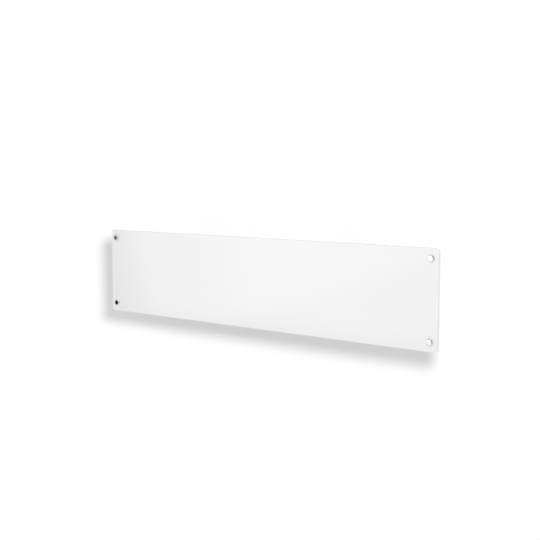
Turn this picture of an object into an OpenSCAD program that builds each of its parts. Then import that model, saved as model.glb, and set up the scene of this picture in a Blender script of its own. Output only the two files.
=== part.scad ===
// Low wall-mounted panel heater: a glass front on chrome-capped fixings, a folded steel casing
// with a finned element inside, and a wall bracket on which the heater tilts forward.
// The wall is the plane y = 0. The front faces -Y, +X is the user's right and +Z is up.

/* [Glass front] */
// Width of the glass
glass_w = 1000; // [960:10:1300]
// Height of the glass
glass_h = 220; // [216:2:260]
// Thickness of the toughened glass
glass_t = 5; // [4:0.5:8]
// Corner radius of the glass
glass_corner_r = 9; // [5:1:14]
// Width of the polished bevel round both edges
glass_bevel = 0.8; // [0.4:0.1:1.4]

/* [Glass fixings] */
// From the glass's side edge to the centre of a cap
cap_inset_x = 19.5; // [17:0.5:22]
// From the glass's top or bottom edge to the centre of a cap
cap_inset_z = 21.5; // [20:0.5:25]
// Diameter of a chrome cap
cap_d = 15; // [13:0.5:17]
// Height of a chrome cap
cap_h = 3.6; // [3:0.2:5]
// Diameter of the holes drilled through the glass
glass_hole_d = 10; // [9:0.5:11]
// Diameter of the fixing studs
stud_d = 6; // [5:0.5:6.5]
// Space between the carrier plate and the glass
glass_gap = 5; // [4:0.5:8]

/* [Casing] */
// From the glass's side edge to the end of the folded shell
casing_inset_x = 50; // [44:1:60]
// From the glass's top or bottom edge to the folded shell
casing_inset_z = 22; // [20:0.5:25]
// Depth of the folded shell
casing_d = 60; // [58:1:70]
// Thickness of the sheet steel
sheet_t = 1.2; // [1:0.1:1.6]
// Outer radius of the folds
bend_r = 6; // [4:0.5:8]
// Thickness of the plate that carries the glass
plate_t = 1.5; // [1.2:0.1:2]
// From the glass's side edge to the edge of the carrier plate
plate_inset_x = 10; // [9:0.5:11]
// From the glass's top or bottom edge to the edge of the carrier plate
plate_inset_z = 12; // [10:0.5:12]
// Depth of the folded lips along the top and bottom of the carrier plate
plate_lip_d = 10; // [6:1:14]

/* [Air grilles] */
// Number of curved vanes in the outlet
vane_count = 3; // [2:1:3]
// Thickness of a vane
vane_t = 1; // [0.8:0.1:1.2]
// Radius that the vanes are curved to
vane_r = 30; // [26:1:40]
// Angle of arc that a vane covers
vane_arc = 20; // [14:1:22]
// Number of cross ribs in the outlet
outlet_ribs = 9; // [5:1:15]
// Number of slots in each row of the inlet
inlet_slots = 26; // [16:1:30]
// Number of slot rows in the inlet
inlet_rows = 3; // [2:1:3]
// Number of vents in the back wall
vent_count = 15; // [7:2:21]

/* [Heating element] */
// Number of fins
fin_count = 52; // [30:1:60]
// Thickness of a fin
fin_t = 0.8; // [0.5:0.1:1]
// Depth of a fin, front to back
fin_d = 36; // [30:1:38]
// Height of a fin
fin_h = 84; // [70:1:90]
// Diameter of the sheathed heating rod
rod_d = 8.5; // [7:0.5:10]
// Height of the rod below the middle of the heater
element_drop = 20; // [14:1:24]

/* [Controls] */
// Width of the bay that holds the electronics
bay_w = 100; // [96:1:104]
// Diameter of a push button
button_d = 9; // [8:0.5:10]
// Distance between the centres of two buttons
button_pitch = 17; // [15:0.5:18]
// Height of a button above the control panel
button_rise = 1.4; // [1:0.1:2]
// How far a button travels
button_travel = 0.8; // [0.5:0.1:1.2]
// Width of the display window
window_w = 44; // [36:1:50]
// Depth of the display window, front to back
window_d = 16; // [12:1:18]

/* [Wall bracket] */
// Space between the wall and the back of the casing
wall_gap = 20; // [19:0.5:24]
// Distance between the centres of the two arms
arm_spacing = 440; // [380:10:520]
// Width of an arm
arm_w = 30; // [28:1:34]
// Thickness of the bracket steel
arm_t = 1.5; // [1.2:0.1:2]
// From the casing's top or bottom edge to the height of a wall hole
hole_inset_z = 36; // [34:1:40]
// Diameter of the wall holes
hole_d = 6; // [5:0.5:7]
// Diameter of the hinge pins
hinge_pin_d = 6; // [5:0.5:7]
// Diameter of the catch pins
catch_pin_d = 4; // [3:0.5:5]
// Angle through which a catch stands raised from its locked place
catch_raise = 20; // [17:1:22]

/* [Cord inlet] */
// Diameter of the cord hole through the gland
gland_bore_d = 7.4; // [6:0.2:9]

/* [Hidden] */
$fn = 64;

// Planes from the wall forward
casing_back_y = -wall_gap;
casing_front_y = casing_back_y - casing_d;
casing_mid_y = casing_back_y - casing_d / 2;
plate_front_y = casing_front_y - plate_t;
glass_back_y = plate_front_y - glass_gap;
glass_front_y = glass_back_y - glass_t;
inner_back_y = casing_back_y - sheet_t;
inner_front_y = casing_front_y + sheet_t;

// Casing
casing_w = glass_w - 2 * casing_inset_x;
casing_h = glass_h - 2 * casing_inset_z;
casing_top = casing_h / 2;
casing_bottom = -casing_h / 2;
casing_side = casing_w / 2;
inner_top = casing_top - sheet_t;
inner_bottom = casing_bottom + sheet_t;
inner_bend_r = bend_r - sheet_t;
flange_h = 16;
mouth_h = casing_h - 2 * flange_h;
plate_w = glass_w - 2 * plate_inset_x;
plate_h = glass_h - 2 * plate_inset_z;
plate_corner_r = 7;
bead_r = 8;
bead_h = 1.2;
bead_z = 25;
bead_centre_y = casing_back_y - bead_r + bead_h;
plate_bead_margin = 20;
vent_pitch = 18;
vent_w = 4;
vent_h = 22;
vent_z = casing_top - 24;
panel_lip_d = 8;
panel_fit = 0.15;
fit = 0.03;
slack = 0.2;
cut = 1;

// Glass fixings
cap_x = glass_w / 2 - cap_inset_x;
cap_z = glass_h / 2 - cap_inset_z;
washer_t = 0.8;
cap_back_y = glass_front_y - washer_t;
cap_floor = 1.2;
cap_edge = 0.5;
spacer_d = 14;
spacer_neck_d = glass_hole_d - 0.2;
nut_t = 5;
nut_d = 11.2;
stud_tail = nut_t + 2;

// Screws of the carrier plate and the end panels
screw_d = 4;
screw_head_d = 7.6;
screw_head_t = 2.2;
screw_tail = 4;
plate_screw_z = casing_top - 10;
plate_screw_columns = 5;
plate_screw_x = casing_side - 24;
end_screw_x = casing_side - 4.5;
end_screw_z = casing_top - 30;

// Electronics bay and element chamber
bulkhead_x = casing_side - bay_w;
bulkhead_t = 1;
hanger_t = 1.2;
hanger_left_x = -casing_side + 24;
hanger_right_x = bulkhead_x - 22;
rod_overhang = 10;
rod_left_x = hanger_left_x - rod_overhang;
rod_right_x = hanger_right_x + rod_overhang;
terminal_d = 3;
terminal_l = 6;
insulator_d = 15;
insulator_flange_d = 21;
insulator_flange_t = 3;
insulator_l = 12;
element_z = -element_drop;
fin_left_x = hanger_left_x + 22;
fin_right_x = hanger_right_x - 22;
fin_corner_r = 6;
collar_d = rod_d + 3.5;
shield_stand = 7;
shield_t = 0.8;
shield_h = mouth_h - 22;
shield_foot = 6;
hanger_h = 34;
hanger_reach = casing_d - 2 * sheet_t - 14;
hanger_fold = 12;
hanger_corner_r = 7;

// Grilles
outlet_x0 = -casing_side + 30;
outlet_x1 = bulkhead_x - 12;
grille_margin = 2.5;
grille_flange_t = 1.5;
grille_wall = 1.2;
striker_back_y = casing_back_y - bend_r - 2;
striker_t = 1.2;
striker_h = 4.5;
striker_d = 8.5;
striker_w = 18;
striker_space = 1;
outlet_back_y = striker_back_y - striker_d - striker_space - grille_margin;
outlet_front_y = casing_front_y + bend_r + grille_margin;
outlet_depth = outlet_back_y - outlet_front_y;
outlet_mid_y = (outlet_back_y + outlet_front_y) / 2;
vane_room = outlet_depth - 2 * slack - 2 * grille_wall;
vane_pitch = vane_room / (vane_count + 1);
vane_h = vane_r * sin(vane_arc);
vane_lean = vane_r * (1 - cos(vane_arc));
inlet_back_y = casing_back_y - 10;
inlet_front_y = casing_front_y + 12;
inlet_depth = inlet_back_y - inlet_front_y;
inlet_mid_y = (inlet_back_y + inlet_front_y) / 2;
inlet_slot_w = 4.6;
inlet_slot_l = 19;

// Controls
ctl_w = 76;
ctl_d = 46;
ctl_x = bulkhead_x + 8 + ctl_w / 2;
ctl_y = casing_mid_y;
ctl_wall = 2;
ctl_skirt = 22;
ctl_margin = 2.5;
ctl_top = casing_top + ctl_wall;
collar_t = 1.5;
collar_gap = 0.3;
button_collar_d = button_d + 2.6;
button_y = ctl_y - 12;
window_y = ctl_y + 8;
window_t = 1.2;
button_base_z = casing_top - collar_gap - collar_t;
dome_h = 2.5;
dome_d = 7;
keypad_t = 1.2;
board_t = 1.6;
board_top = button_base_z - button_travel - collar_gap - dome_h - keypad_t;
board_w = ctl_w - 2 * ctl_wall - 1;
board_d = ctl_d - 2 * ctl_wall - 1;

// Power board
post_h = 6;
post_d = 5;
post_neck_d = 3;
power_margin = 8;
power_w = bay_w - panel_lip_d - 2 * power_margin;
power_h = 90;
power_x = bulkhead_x + power_margin + power_w / 2;
power_z = 5;
power_back_y = inner_back_y - post_h;

// Switch in the right end panel
switch_z = casing_bottom + 30;
switch_y = casing_mid_y;
switch_w = 13;
switch_h = 19.2;
switch_bezel = 1.8;
switch_rim = 1.2;
switch_depth = 18;
switch_blade_l = 7;
switch_blade_z = 4.5;
rocker_w = 9.6;
rocker_r = 8.2;
rocker_tilt = 7;
rocker_pin_d = 2;
rocker_play = 0.05;
switch_face_x = casing_side + sheet_t + switch_bezel;
rocker_x = switch_face_x - 2.6;

// Cord gland in the bottom wall
gland_x = casing_side - 34;
gland_y = casing_mid_y;
gland_flange_d = 20;
gland_flange_t = 3;
gland_thread_d = 14;
gland_thread_l = 11;
gland_nose_d = 13;
gland_nose_l = 6;
gland_nut_d = 21;
gland_nut_t = 4;

// Wall bracket
arm_x = arm_spacing / 2;
arm_reach = wall_gap - 3;
pad_t = wall_gap - arm_reach - 0.3;
pad_h = 12;
pad_z = casing_top - 36;
hinge_y = -wall_gap + 9;
hinge_z = casing_bottom + 22;
hinge_r = hinge_pin_d / 2;
arm_end_r = 8;
arm_top_z = casing_top - 26;
arm_waist = 5;
catch_sink = 12;
catch_y = -wall_gap + 8;
catch_z = casing_top - catch_sink;
catch_boss_r = 5.5;
catch_w = 12;
catch_beam = 3;
catch_nose = 4.7;
catch_play_y = 3.1;
catch_play_z = 0.5;
arm_inner_w = arm_w - 2 * arm_t;
hook_foot_w = 22;
hook_foot_t = 2;
hook_foot_h = 38;
hook_r = 6.5;
hook_cheek_t = 3;
hook_cheek_x = 7;
rivet_d = 4;
rivet_head_d = 7;
rivet_head_t = 1.4;
rivet_drop = 8;
rail_h = 40;
rail_z = 22;
rail_t = 1.5;
rail_lip = 6;
rail_tab = 12;
rail_half_w = arm_x - arm_w / 2;
rail_slots = 3;
rail_slot_l = 28;
rail_slot_pitch = 60;
rail_slot_margin = 40;

// Wires
wire_d = 2.4;
wire_sides = 10;
wire_bus_z = inner_bottom + 10;
wire_bus_y = inner_back_y - 4;
grommet_y = inner_back_y - 7;
grommet_z = wire_bus_z;
grommet_hole_d = 12;
clip_w = 6;
clip_space = 54;
cutout_space = 110;
cutout_x = bulkhead_x - cutout_space;
cutout_y = inner_back_y - 7.6;
cutout_z = element_z + fin_h / 2 + 22;
cutout_d = 16;
cutout_tab_x = 11;
cutout_tab_l = 8;
block_x = bulkhead_x + 26;
block_z = casing_bottom + 24;
block_pitch = 12;
block_w = 3 * block_pitch;
block_h = 18;
block_entry_y = inner_back_y - 8;
sensor_space = 60;
sensor_x = bulkhead_x + sensor_space;
sensor_d = 5;
sensor_l = 16;
sensor_y = inlet_front_y - 2;
sensor_z = inner_bottom + 5.5;
plug_y = ctl_y - board_d / 2 + 4.5;
plug_z = board_top - board_t - 5.1;
header_z = power_z - 3;

// A rectangle with true round corners, centred
module rounded_rect(w, h, r) {
    square([w - 2 * r, h], center = true);
    square([w, h - 2 * r], center = true);
    for (x = [-1, 1], y = [-1, 1])
        translate([x * (w / 2 - r), y * (h / 2 - r)]) circle(r);
}

// A profile drawn in (y, z), drawn out along X
module along_x(x0, len) {
    translate([x0, 0, 0]) rotate([90, 0, 90]) linear_extrude(len) children();
}

// An outline drawn in (x, z), drawn forward from the plane y = back_y
module forward(back_y, len) {
    translate([0, back_y, 0]) rotate([90, 0, 0]) linear_extrude(len) children();
}

// A round peg that runs forward from the plane y = back_y
module peg(back_y, len, d) {
    translate([0, back_y, 0]) rotate([90, 0, 0]) cylinder(h = len, d = d);
}

module box(x0, y0, z0, x1, y1, z1) {
    translate([x0, y0, z0]) cube([x1 - x0, y1 - y0, z1 - z0]);
}

// A plate lying flat, with round corners and a bevel round both faces
module bevelled_plate(w, h, t, r, bevel) {
    translate([-(w / 2 - r), 0, 0]) rotate([90, 0, 90]) linear_extrude(w - 2 * r)
        bevelled_bar(h, t, bevel);
    translate([0, h / 2 - r, 0]) rotate([90, 0, 0]) linear_extrude(h - 2 * r)
        bevelled_bar(w, t, bevel);
    for (x = [-1, 1], y = [-1, 1])
        translate([x * (w / 2 - r), y * (h / 2 - r), 0])
            rotate_extrude() intersection() {
                bevelled_bar(2 * r, t, bevel);
                square([r, t]);
            }
}

module bevelled_bar(w, t, bevel) {
    polygon([[-w / 2 + bevel, 0], [w / 2 - bevel, 0], [w / 2, bevel], [w / 2, t - bevel],
        [w / 2 - bevel, t], [-w / 2 + bevel, t], [-w / 2, t - bevel], [-w / 2, bevel]]);
}

module at_caps() {
    for (x = [-cap_x, cap_x], z = [-cap_z, cap_z]) translate([x, 0, z]) children();
}

module at_plate_screws() {
    for (i = [0:plate_screw_columns - 1], side = [-1, 1])
        translate([-plate_screw_x + 2 * plate_screw_x * i / (plate_screw_columns - 1), 0,
            side * plate_screw_z]) children();
}

module at_end_screws() {
    for (x = [-1, 1], z = [-1, 1]) translate([x * end_screw_x, 0, z * end_screw_z]) children();
}

module at_arms() {
    for (side = [-1, 1]) translate([side * arm_x, 0, 0]) children();
}

module at_rivets() {
    for (side = [-1, 1], drop = [-1, 1])
        translate([side * arm_x, 0, hinge_z + drop * (hook_foot_h / 2 - rivet_drop)]) children();
}

// Screw with a low round head on its front end
module pan_screw(seat_y, length) {
    peg(seat_y + length, length, screw_d);
    translate([0, seat_y, 0]) rotate([90, 0, 0]) screw_head();
}

module screw_head() {
    edge = screw_head_t * 0.4;
    rotate_extrude() difference() {
        union() {
            square([screw_head_d / 2 - edge, screw_head_t]);
            square([screw_head_d / 2, screw_head_t - edge]);
            translate([screw_head_d / 2 - edge, screw_head_t - edge]) circle(edge);
        }
        translate([-screw_head_d, 0]) square([screw_head_d, screw_head_t + cut]);
    }
}

// Wall bracket

module wall_rail() {
    color("silver") difference() {
        union() {
            along_x(-rail_half_w, 2 * rail_half_w) {
                translate([-rail_t, rail_z - rail_h / 2]) square([rail_t, rail_h]);
                for (z = [rail_z - rail_h / 2, rail_z + rail_h / 2 - rail_t])
                    translate([-rail_lip, z]) square([rail_lip, rail_t]);
            }
            for (x = [-rail_half_w, rail_half_w - rail_t])
                box(x, -rail_tab, rail_z - rail_h / 2, x + rail_t, 0, rail_z + rail_h / 2);
        }
        for (x = [-1, 1], i = [0:rail_slots - 1])
            translate([x * (rail_half_w - rail_slot_margin - rail_slot_pitch * i), 0, rail_z])
                slot_cut(rail_t, rail_slot_l, hole_d);
    }
}

// A long hole along X through a sheet that lies on the plane y = 0
module slot_cut(t, length, width) {
    forward(cut, t + 2 * cut) rounded_rect(length, width, width / 2 - 0.01);
}

module bracket_arm() {
    color("silver") difference() {
        union() {
            box(-arm_w / 2, -arm_t, hinge_z, arm_w / 2, 0, arm_top_z);
            for (x = [-arm_w / 2, arm_w / 2 - arm_t]) along_x(x, arm_t) arm_web();
        }
        for (z = [casing_bottom + hole_inset_z, casing_top - hole_inset_z])
            translate([0, 0, z]) peg(cut, arm_t + 2 * cut, hole_d);
        translate([-arm_w, hinge_y, hinge_z]) rotate([0, 90, 0])
            cylinder(h = 2 * arm_w, r = hinge_r + fit);
        translate([-arm_w, catch_y, catch_z]) rotate([0, 90, 0])
            cylinder(h = 2 * arm_w, d = catch_pin_d + 2 * fit);
    }
}

// Side view of an arm's web: round ends about the two pins, and a waist between them
module arm_web() {
    waist_z = hinge_z + 3 * arm_end_r;
    difference() {
        union() {
            translate([hinge_y, hinge_z]) circle(arm_end_r);
            translate([catch_y, catch_z]) circle(catch_boss_r + 1);
            translate([-arm_reach, hinge_z]) square([arm_reach, catch_z - hinge_z]);
        }
        translate([0, hinge_z - 2 * arm_end_r])
            square([2 * arm_end_r, catch_z - hinge_z + 4 * arm_end_r]);
        translate([-arm_reach - cut, waist_z]) square([arm_waist + cut, pad_z - pad_h - waist_z]);
    }
}

module bracket_arm_left() { translate([-arm_x, 0, 0]) bracket_arm(); }

module bracket_arm_right() { translate([arm_x, 0, 0]) bracket_arm(); }

// Headed pin across an arm, lying along X
module cross_pin(d) {
    head_t = 1.2;
    translate([-arm_w / 2 - head_t, 0, 0]) rotate([0, 90, 0]) {
        cylinder(h = head_t, d = d + 4);
        cylinder(h = arm_w + 2 * head_t, d = d);
        translate([0, 0, arm_w + head_t]) cylinder(h = head_t, d = d + 3);
    }
}

module hinge_pins() {
    color("gainsboro") at_arms() translate([0, hinge_y, hinge_z]) cross_pin(hinge_pin_d);
}

module catch_pins() {
    color("gainsboro") at_arms() translate([0, catch_y, catch_z]) cross_pin(catch_pin_d);
}

// Rubber blocks on the webs' front edges, where the locked heater leans
module arm_pads() {
    color("dimgray") at_arms() forward(-arm_reach, pad_t)
        translate([0, pad_z]) rounded_rect(arm_w, pad_h, 3);
}

// Side view of a catch in its locked place, with its pivot at the origin: the beam lies over
// the striker and the nose stands in front of it
module catch_section() {
    nose_y = striker_back_y - striker_t - catch_play_y - catch_y;
    nose_z = catch_sink + striker_t + catch_play_z;
    beam_z = catch_sink + striker_h + catch_play_z;
    shoulder = 33;
    circle(catch_boss_r);
    polygon([[catch_boss_r * cos(shoulder), catch_boss_r * sin(shoulder)],
        [-catch_beam, beam_z + catch_beam], [nose_y - catch_nose, beam_z + catch_beam],
        [nose_y - catch_nose, nose_z], [nose_y, nose_z], [nose_y, beam_z],
        [-catch_boss_r - catch_beam, beam_z], [-catch_boss_r, 0]]);
}

module catch_piece(x) {
    color("dimgray") translate([x, catch_y, catch_z]) rotate([-catch_raise, 0, 0])
        difference() {
            along_x(-catch_w / 2, catch_w) catch_section();
            translate([-catch_w, 0, 0]) rotate([0, 90, 0])
                cylinder(h = 2 * catch_w, r = catch_pin_d / 2 + 0.05);
        }
}

module catch_left() { catch_piece(-arm_x); }

module catch_right() { catch_piece(arm_x); }

// Glass and its fixings

module glass_panel() {
    color("white") difference() {
        translate([0, glass_back_y, 0]) rotate([90, 0, 0])
            bevelled_plate(glass_w, glass_h, glass_t, glass_corner_r, glass_bevel);
        at_caps() peg(glass_back_y + cut, glass_t + 2 * cut, glass_hole_d);
    }
}

module glass_caps() {
    r = cap_d / 2;
    color("silver") at_caps() translate([0, cap_back_y, 0]) rotate([90, 0, 0]) difference() {
        rotate_extrude()
            polygon([[0, 0], [r, 0], [r, cap_h - cap_edge], [r - cap_edge, cap_h], [0, cap_h]]);
        translate([0, 0, -cut]) cylinder(h = cap_h - cap_floor + cut, d = stud_d + 2 * fit);
    }
}

module cap_washers() {
    color("gray") at_caps() difference() {
        peg(glass_front_y, washer_t, cap_d - 2);
        peg(glass_front_y + cut, washer_t + 2 * cut, stud_d + 2 * fit);
    }
}

// Rubber sleeves: a collar behind the glass and a neck that lines its hole
module glass_spacers() {
    color("dimgray") at_caps() difference() {
        union() {
            peg(plate_front_y, glass_gap, spacer_d);
            peg(plate_front_y, glass_gap + glass_t, spacer_neck_d);
        }
        peg(plate_front_y + cut, glass_gap + glass_t + 2 * cut, stud_d + 2 * fit);
    }
}

module glass_studs() {
    back_y = casing_front_y + stud_tail;
    front_y = cap_back_y - cap_h + cap_floor;
    color("silver") at_caps() peg(back_y, back_y - front_y, stud_d);
}

module stud_nuts() {
    color("silver") at_caps() translate([0, casing_front_y + nut_t, 0]) rotate([90, 0, 0])
        difference() {
            cylinder(h = nut_t, d = nut_d, $fn = 6);
            translate([0, 0, -cut]) cylinder(h = nut_t + 2 * cut, d = stud_d + 2 * fit);
        }
}

module carrier_plate() {
    lip_l = plate_w - 2 * plate_corner_r;
    color("whitesmoke") difference() {
        union() {
            forward(casing_front_y, plate_t) rounded_rect(plate_w, plate_h, plate_corner_r);
            for (z = [-plate_h / 2, plate_h / 2 - plate_t])
                box(-lip_l / 2, casing_front_y - cut / 2, z,
                    lip_l / 2, casing_front_y + plate_lip_d, z + plate_t);
            for (z = [-bead_z, bead_z]) along_x(plate_bead_margin - casing_side, casing_w - 2 * plate_bead_margin)
                translate([plate_front_y + bead_r - bead_h, z]) intersection() {
                    circle(bead_r);
                    translate([-bead_r, -bead_r]) square([bead_h + 0.5, 2 * bead_r]);
                }
        }
        at_caps() peg(casing_front_y + cut, plate_t + 2 * cut, stud_d + 2 * fit);
        at_plate_screws() peg(casing_front_y + cut, plate_t + 2 * cut, screw_d + 2 * fit);
    }
}

module plate_screws() {
    color("silver") at_plate_screws() pan_screw(plate_front_y, plate_t + screw_tail);
}

// Casing

// Side view of the folded shell: a channel open to the front, with two beads rolled in its back
module shell_section() {
    difference() {
        union() {
            translate([casing_mid_y, 0]) rounded_rect(casing_d, casing_h, bend_r);
            for (z = [-bead_z, bead_z]) translate([bead_centre_y, z]) circle(bead_r);
        }
        translate([casing_mid_y, 0])
            rounded_rect(casing_d - 2 * sheet_t, casing_h - 2 * sheet_t, inner_bend_r);
        for (z = [-bead_z, bead_z]) translate([bead_centre_y, z]) circle(bead_r - sheet_t);
        translate([casing_front_y - cut, -mouth_h / 2]) square([sheet_t + 2 * cut, mouth_h]);
    }
}

module rear_shell() {
    color("whitesmoke") difference() {
        along_x(-casing_side, casing_w) shell_section();
        box(outlet_x0, outlet_front_y, inner_top - cut, outlet_x1, outlet_back_y, casing_top + cut);
        box(outlet_x0, inlet_front_y, casing_bottom - cut,
            outlet_x1, inlet_back_y, inner_bottom + cut);
        box(ctl_x - ctl_w / 2 - slack, ctl_y - ctl_d / 2 - slack, inner_top - cut,
            ctl_x + ctl_w / 2 + slack, ctl_y + ctl_d / 2 + slack, casing_top + cut);
        for (i = [0:vent_count - 1])
            translate([(i - (vent_count - 1) / 2) * vent_pitch, 0, vent_z])
                forward(casing_back_y + 2 * cut, sheet_t + 4 * cut)
                    rounded_rect(vent_w, vent_h, vent_w / 2 - 0.01);
        at_rivets() peg(casing_back_y + cut, sheet_t + 2 * cut, rivet_d + 2 * fit);
        at_end_screws() peg(casing_back_y + cut, sheet_t + 2 * cut, screw_d + 2 * fit);
        at_plate_screws() peg(inner_front_y + cut, sheet_t + 2 * cut, screw_d + 2 * fit);
        translate([gland_x, gland_y, casing_bottom - cut])
            cylinder(h = sheet_t + 2 * cut, d = gland_thread_d + 2 * fit);
    }
}

// End panel whose lip slides into the shell; the plate lies on the shell's end
module end_panel(side) {
    lip_w = casing_d - 2 * sheet_t - 2 * panel_fit;
    lip_h = casing_h - 2 * sheet_t - 2 * panel_fit;
    lip_r = inner_bend_r - panel_fit;
    plate_x = side > 0 ? casing_side : -casing_side - sheet_t;
    lip_x = side > 0 ? casing_side - panel_lip_d : -casing_side;
    color("whitesmoke") difference() {
        union() {
            along_x(plate_x, sheet_t) translate([casing_mid_y, 0])
                rounded_rect(casing_d, casing_h, bend_r);
            along_x(lip_x, panel_lip_d) translate([casing_mid_y, 0]) difference() {
                rounded_rect(lip_w, lip_h, lip_r);
                rounded_rect(lip_w - 2 * sheet_t, lip_h - 2 * sheet_t, lip_r - sheet_t);
            }
        }
        at_end_screws() peg(inner_back_y + cut, sheet_t + 3 * cut, screw_d + 2 * fit);
        if (side > 0) box(casing_side - cut, switch_y - switch_w / 2 - fit,
            switch_z - switch_h / 2 - fit, casing_side + sheet_t + cut,
            switch_y + switch_w / 2 + fit, switch_z + switch_h / 2 + fit);
    }
}

module end_panel_left() { end_panel(-1); }

module end_panel_right() { end_panel(1); }

// Screws from behind, through the shell's back wall and the end panels' lips
module end_screws() {
    color("silver") at_end_screws() {
        peg(casing_back_y, sheet_t + screw_tail, screw_d);
        translate([0, casing_back_y, 0]) rotate([-90, 0, 0]) screw_head();
    }
}

// Hooks on the casing's back that hang on the hinge pins, open downward to lift off
module casing_hooks() {
    foot_front_y = casing_back_y + hook_foot_t;
    color("silver") at_arms() difference() {
        union() {
            box(-hook_foot_w / 2, casing_back_y, hinge_z - hook_foot_h / 2,
                hook_foot_w / 2, foot_front_y, hinge_z + hook_foot_h / 2);
            for (x = [-hook_cheek_x - hook_cheek_t, hook_cheek_x]) along_x(x, hook_cheek_t)
                hook_cheek(foot_front_y);
        }
        translate([0, 0, hinge_z])
            for (z = [-1, 1]) translate([0, 0, z * (hook_foot_h / 2 - rivet_drop)])
                peg(foot_front_y + cut, hook_foot_t + 2 * cut, rivet_d + 2 * fit);
    }
}

module hook_cheek(foot_front_y) {
    hole_r = hinge_r + 0.06;
    difference() {
        union() {
            translate([hinge_y, hinge_z]) circle(hook_r);
            translate([foot_front_y - cut / 2, hinge_z - hook_r])
                square([hinge_y - foot_front_y + cut / 2, 2 * hook_r]);
        }
        translate([hinge_y, hinge_z]) circle(hole_r);
        translate([hinge_y - hole_r, hinge_z - 2 * hook_r]) square([2 * hole_r, 2 * hook_r]);
    }
}

module hook_rivets() {
    color("silver") at_rivets() {
        peg(casing_back_y + hook_foot_t + rivet_head_t, hook_foot_t + sheet_t + 2 * rivet_head_t,
            rivet_d);
        peg(casing_back_y + hook_foot_t + rivet_head_t, rivet_head_t, rivet_head_d);
        peg(inner_back_y, rivet_head_t, rivet_head_d);
    }
}

// Folded plates welded to the casing's top, each with a lip that a catch's nose holds
module catch_strikers() {
    color("silver") at_arms() along_x(-striker_w / 2, striker_w)
        translate([striker_back_y, casing_top]) {
            translate([-striker_d, 0]) square([striker_d, striker_t]);
            translate([-striker_t, 0]) square([striker_t, striker_h]);
        }
}

// Air grilles

// Long vanes curved forward, tied by cross ribs inside a flanged frame
module outlet_grille() {
    length = outlet_x1 - outlet_x0;
    mid_x = (outlet_x0 + outlet_x1) / 2;
    inner_l = length - 2 * slack - 2 * grille_wall;
    frame_z = casing_top - vane_h;
    color("silver") {
        difference() {
            union() {
                translate([mid_x, outlet_mid_y, casing_top]) linear_extrude(grille_flange_t)
                    rounded_rect(length + 2 * grille_margin, outlet_depth + 2 * grille_margin, 3);
                translate([mid_x, outlet_mid_y, frame_z]) linear_extrude(vane_h + cut / 2)
                    square([length - 2 * slack, outlet_depth - 2 * slack], center = true);
            }
            translate([mid_x, outlet_mid_y, frame_z - cut])
                linear_extrude(vane_h + grille_flange_t + 2 * cut)
                    square([inner_l, vane_room], center = true);
        }
        for (i = [1:vane_count])
            along_x(mid_x - inner_l / 2 - grille_wall / 2, inner_l + grille_wall)
                translate([outlet_mid_y + vane_room / 2 - i * vane_pitch + vane_lean / 2, frame_z])
                    vane_section();
        for (i = [1:outlet_ribs])
            translate([mid_x - inner_l / 2 + i * inner_l / (outlet_ribs + 1) - vane_t / 2,
                outlet_mid_y - vane_room / 2 - grille_wall / 2, frame_z])
                cube([vane_t, vane_room + grille_wall, vane_h * 0.7]);
    }
}

// Arc that starts upright at the origin and leans toward -Y as it rises
module vane_section() {
    intersection() {
        translate([-vane_r, 0]) difference() {
            circle(vane_r + vane_t / 2);
            circle(vane_r - vane_t / 2);
        }
        translate([-vane_r, 0]) square([2 * vane_r, vane_h + grille_flange_t]);
    }
}

module inlet_grille() {
    length = outlet_x1 - outlet_x0;
    mid_x = (outlet_x0 + outlet_x1) / 2;
    pitch_x = length / inlet_slots;
    pitch_y = inlet_depth / inlet_rows;
    color("whitesmoke") translate([mid_x, inlet_mid_y, casing_bottom - grille_flange_t])
        linear_extrude(grille_flange_t) difference() {
            rounded_rect(length + 2 * grille_margin, inlet_depth + 2 * grille_margin, 3);
            for (i = [0:inlet_slots - 1], j = [0:inlet_rows - 1])
                translate([(i + 0.5) * pitch_x - length / 2, (j + 0.5) * pitch_y - inlet_depth / 2])
                    rounded_rect(inlet_slot_l, inlet_slot_w, inlet_slot_w / 2 - 0.01);
        }
}

// Heating element

module heat_shield() {
    web_y = casing_front_y + shield_stand;
    color("lightgray") along_x(hanger_left_x, hanger_right_x - hanger_left_x) {
        translate([web_y - shield_t, -shield_h / 2]) square([shield_t, shield_h]);
        for (side = [-1, 1]) {
            edge_z = side * (shield_h / 2 - shield_t / 2);
            translate([casing_front_y, edge_z - shield_t / 2]) square([shield_stand, shield_t]);
            translate([casing_front_y, side > 0 ? edge_z - shield_t / 2 : edge_z - shield_foot])
                square([shield_t, shield_foot + shield_t / 2]);
        }
    }
}

module at_element(x) {
    translate([x, casing_mid_y, element_z]) rotate([0, 90, 0]) children();
}

module element_rod() {
    color("dimgray") {
        at_element(rod_left_x) cylinder(h = rod_right_x - rod_left_x, d = rod_d);
        at_element(rod_left_x - terminal_l)
            cylinder(h = rod_right_x - rod_left_x + 2 * terminal_l, d = terminal_d);
    }
}

// Pressed fins on one long collar that grips the rod
module element_fins() {
    pitch = (fin_right_x - fin_left_x - fin_t) / (fin_count - 1);
    color("silver") difference() {
        union() {
            at_element(fin_left_x) cylinder(h = fin_right_x - fin_left_x, d = collar_d);
            for (i = [0:fin_count - 1]) along_x(fin_left_x + i * pitch, fin_t)
                translate([casing_mid_y, element_z]) fin_section();
        }
        at_element(fin_left_x - cut) cylinder(h = fin_right_x - fin_left_x + 2 * cut,
            d = rod_d + 2 * fit);
    }
}

// One fin: round corners and four louvre slots
module fin_section() {
    slot_h = fin_h / 2 - collar_d / 2 - 12;
    difference() {
        rounded_rect(fin_d, fin_h, fin_corner_r);
        for (y = [-1, 1], z = [-1, 1])
            translate([y * fin_d / 4, z * (collar_d / 2 + 4 + slot_h / 2)])
                square([3, slot_h], center = true);
    }
}

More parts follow.
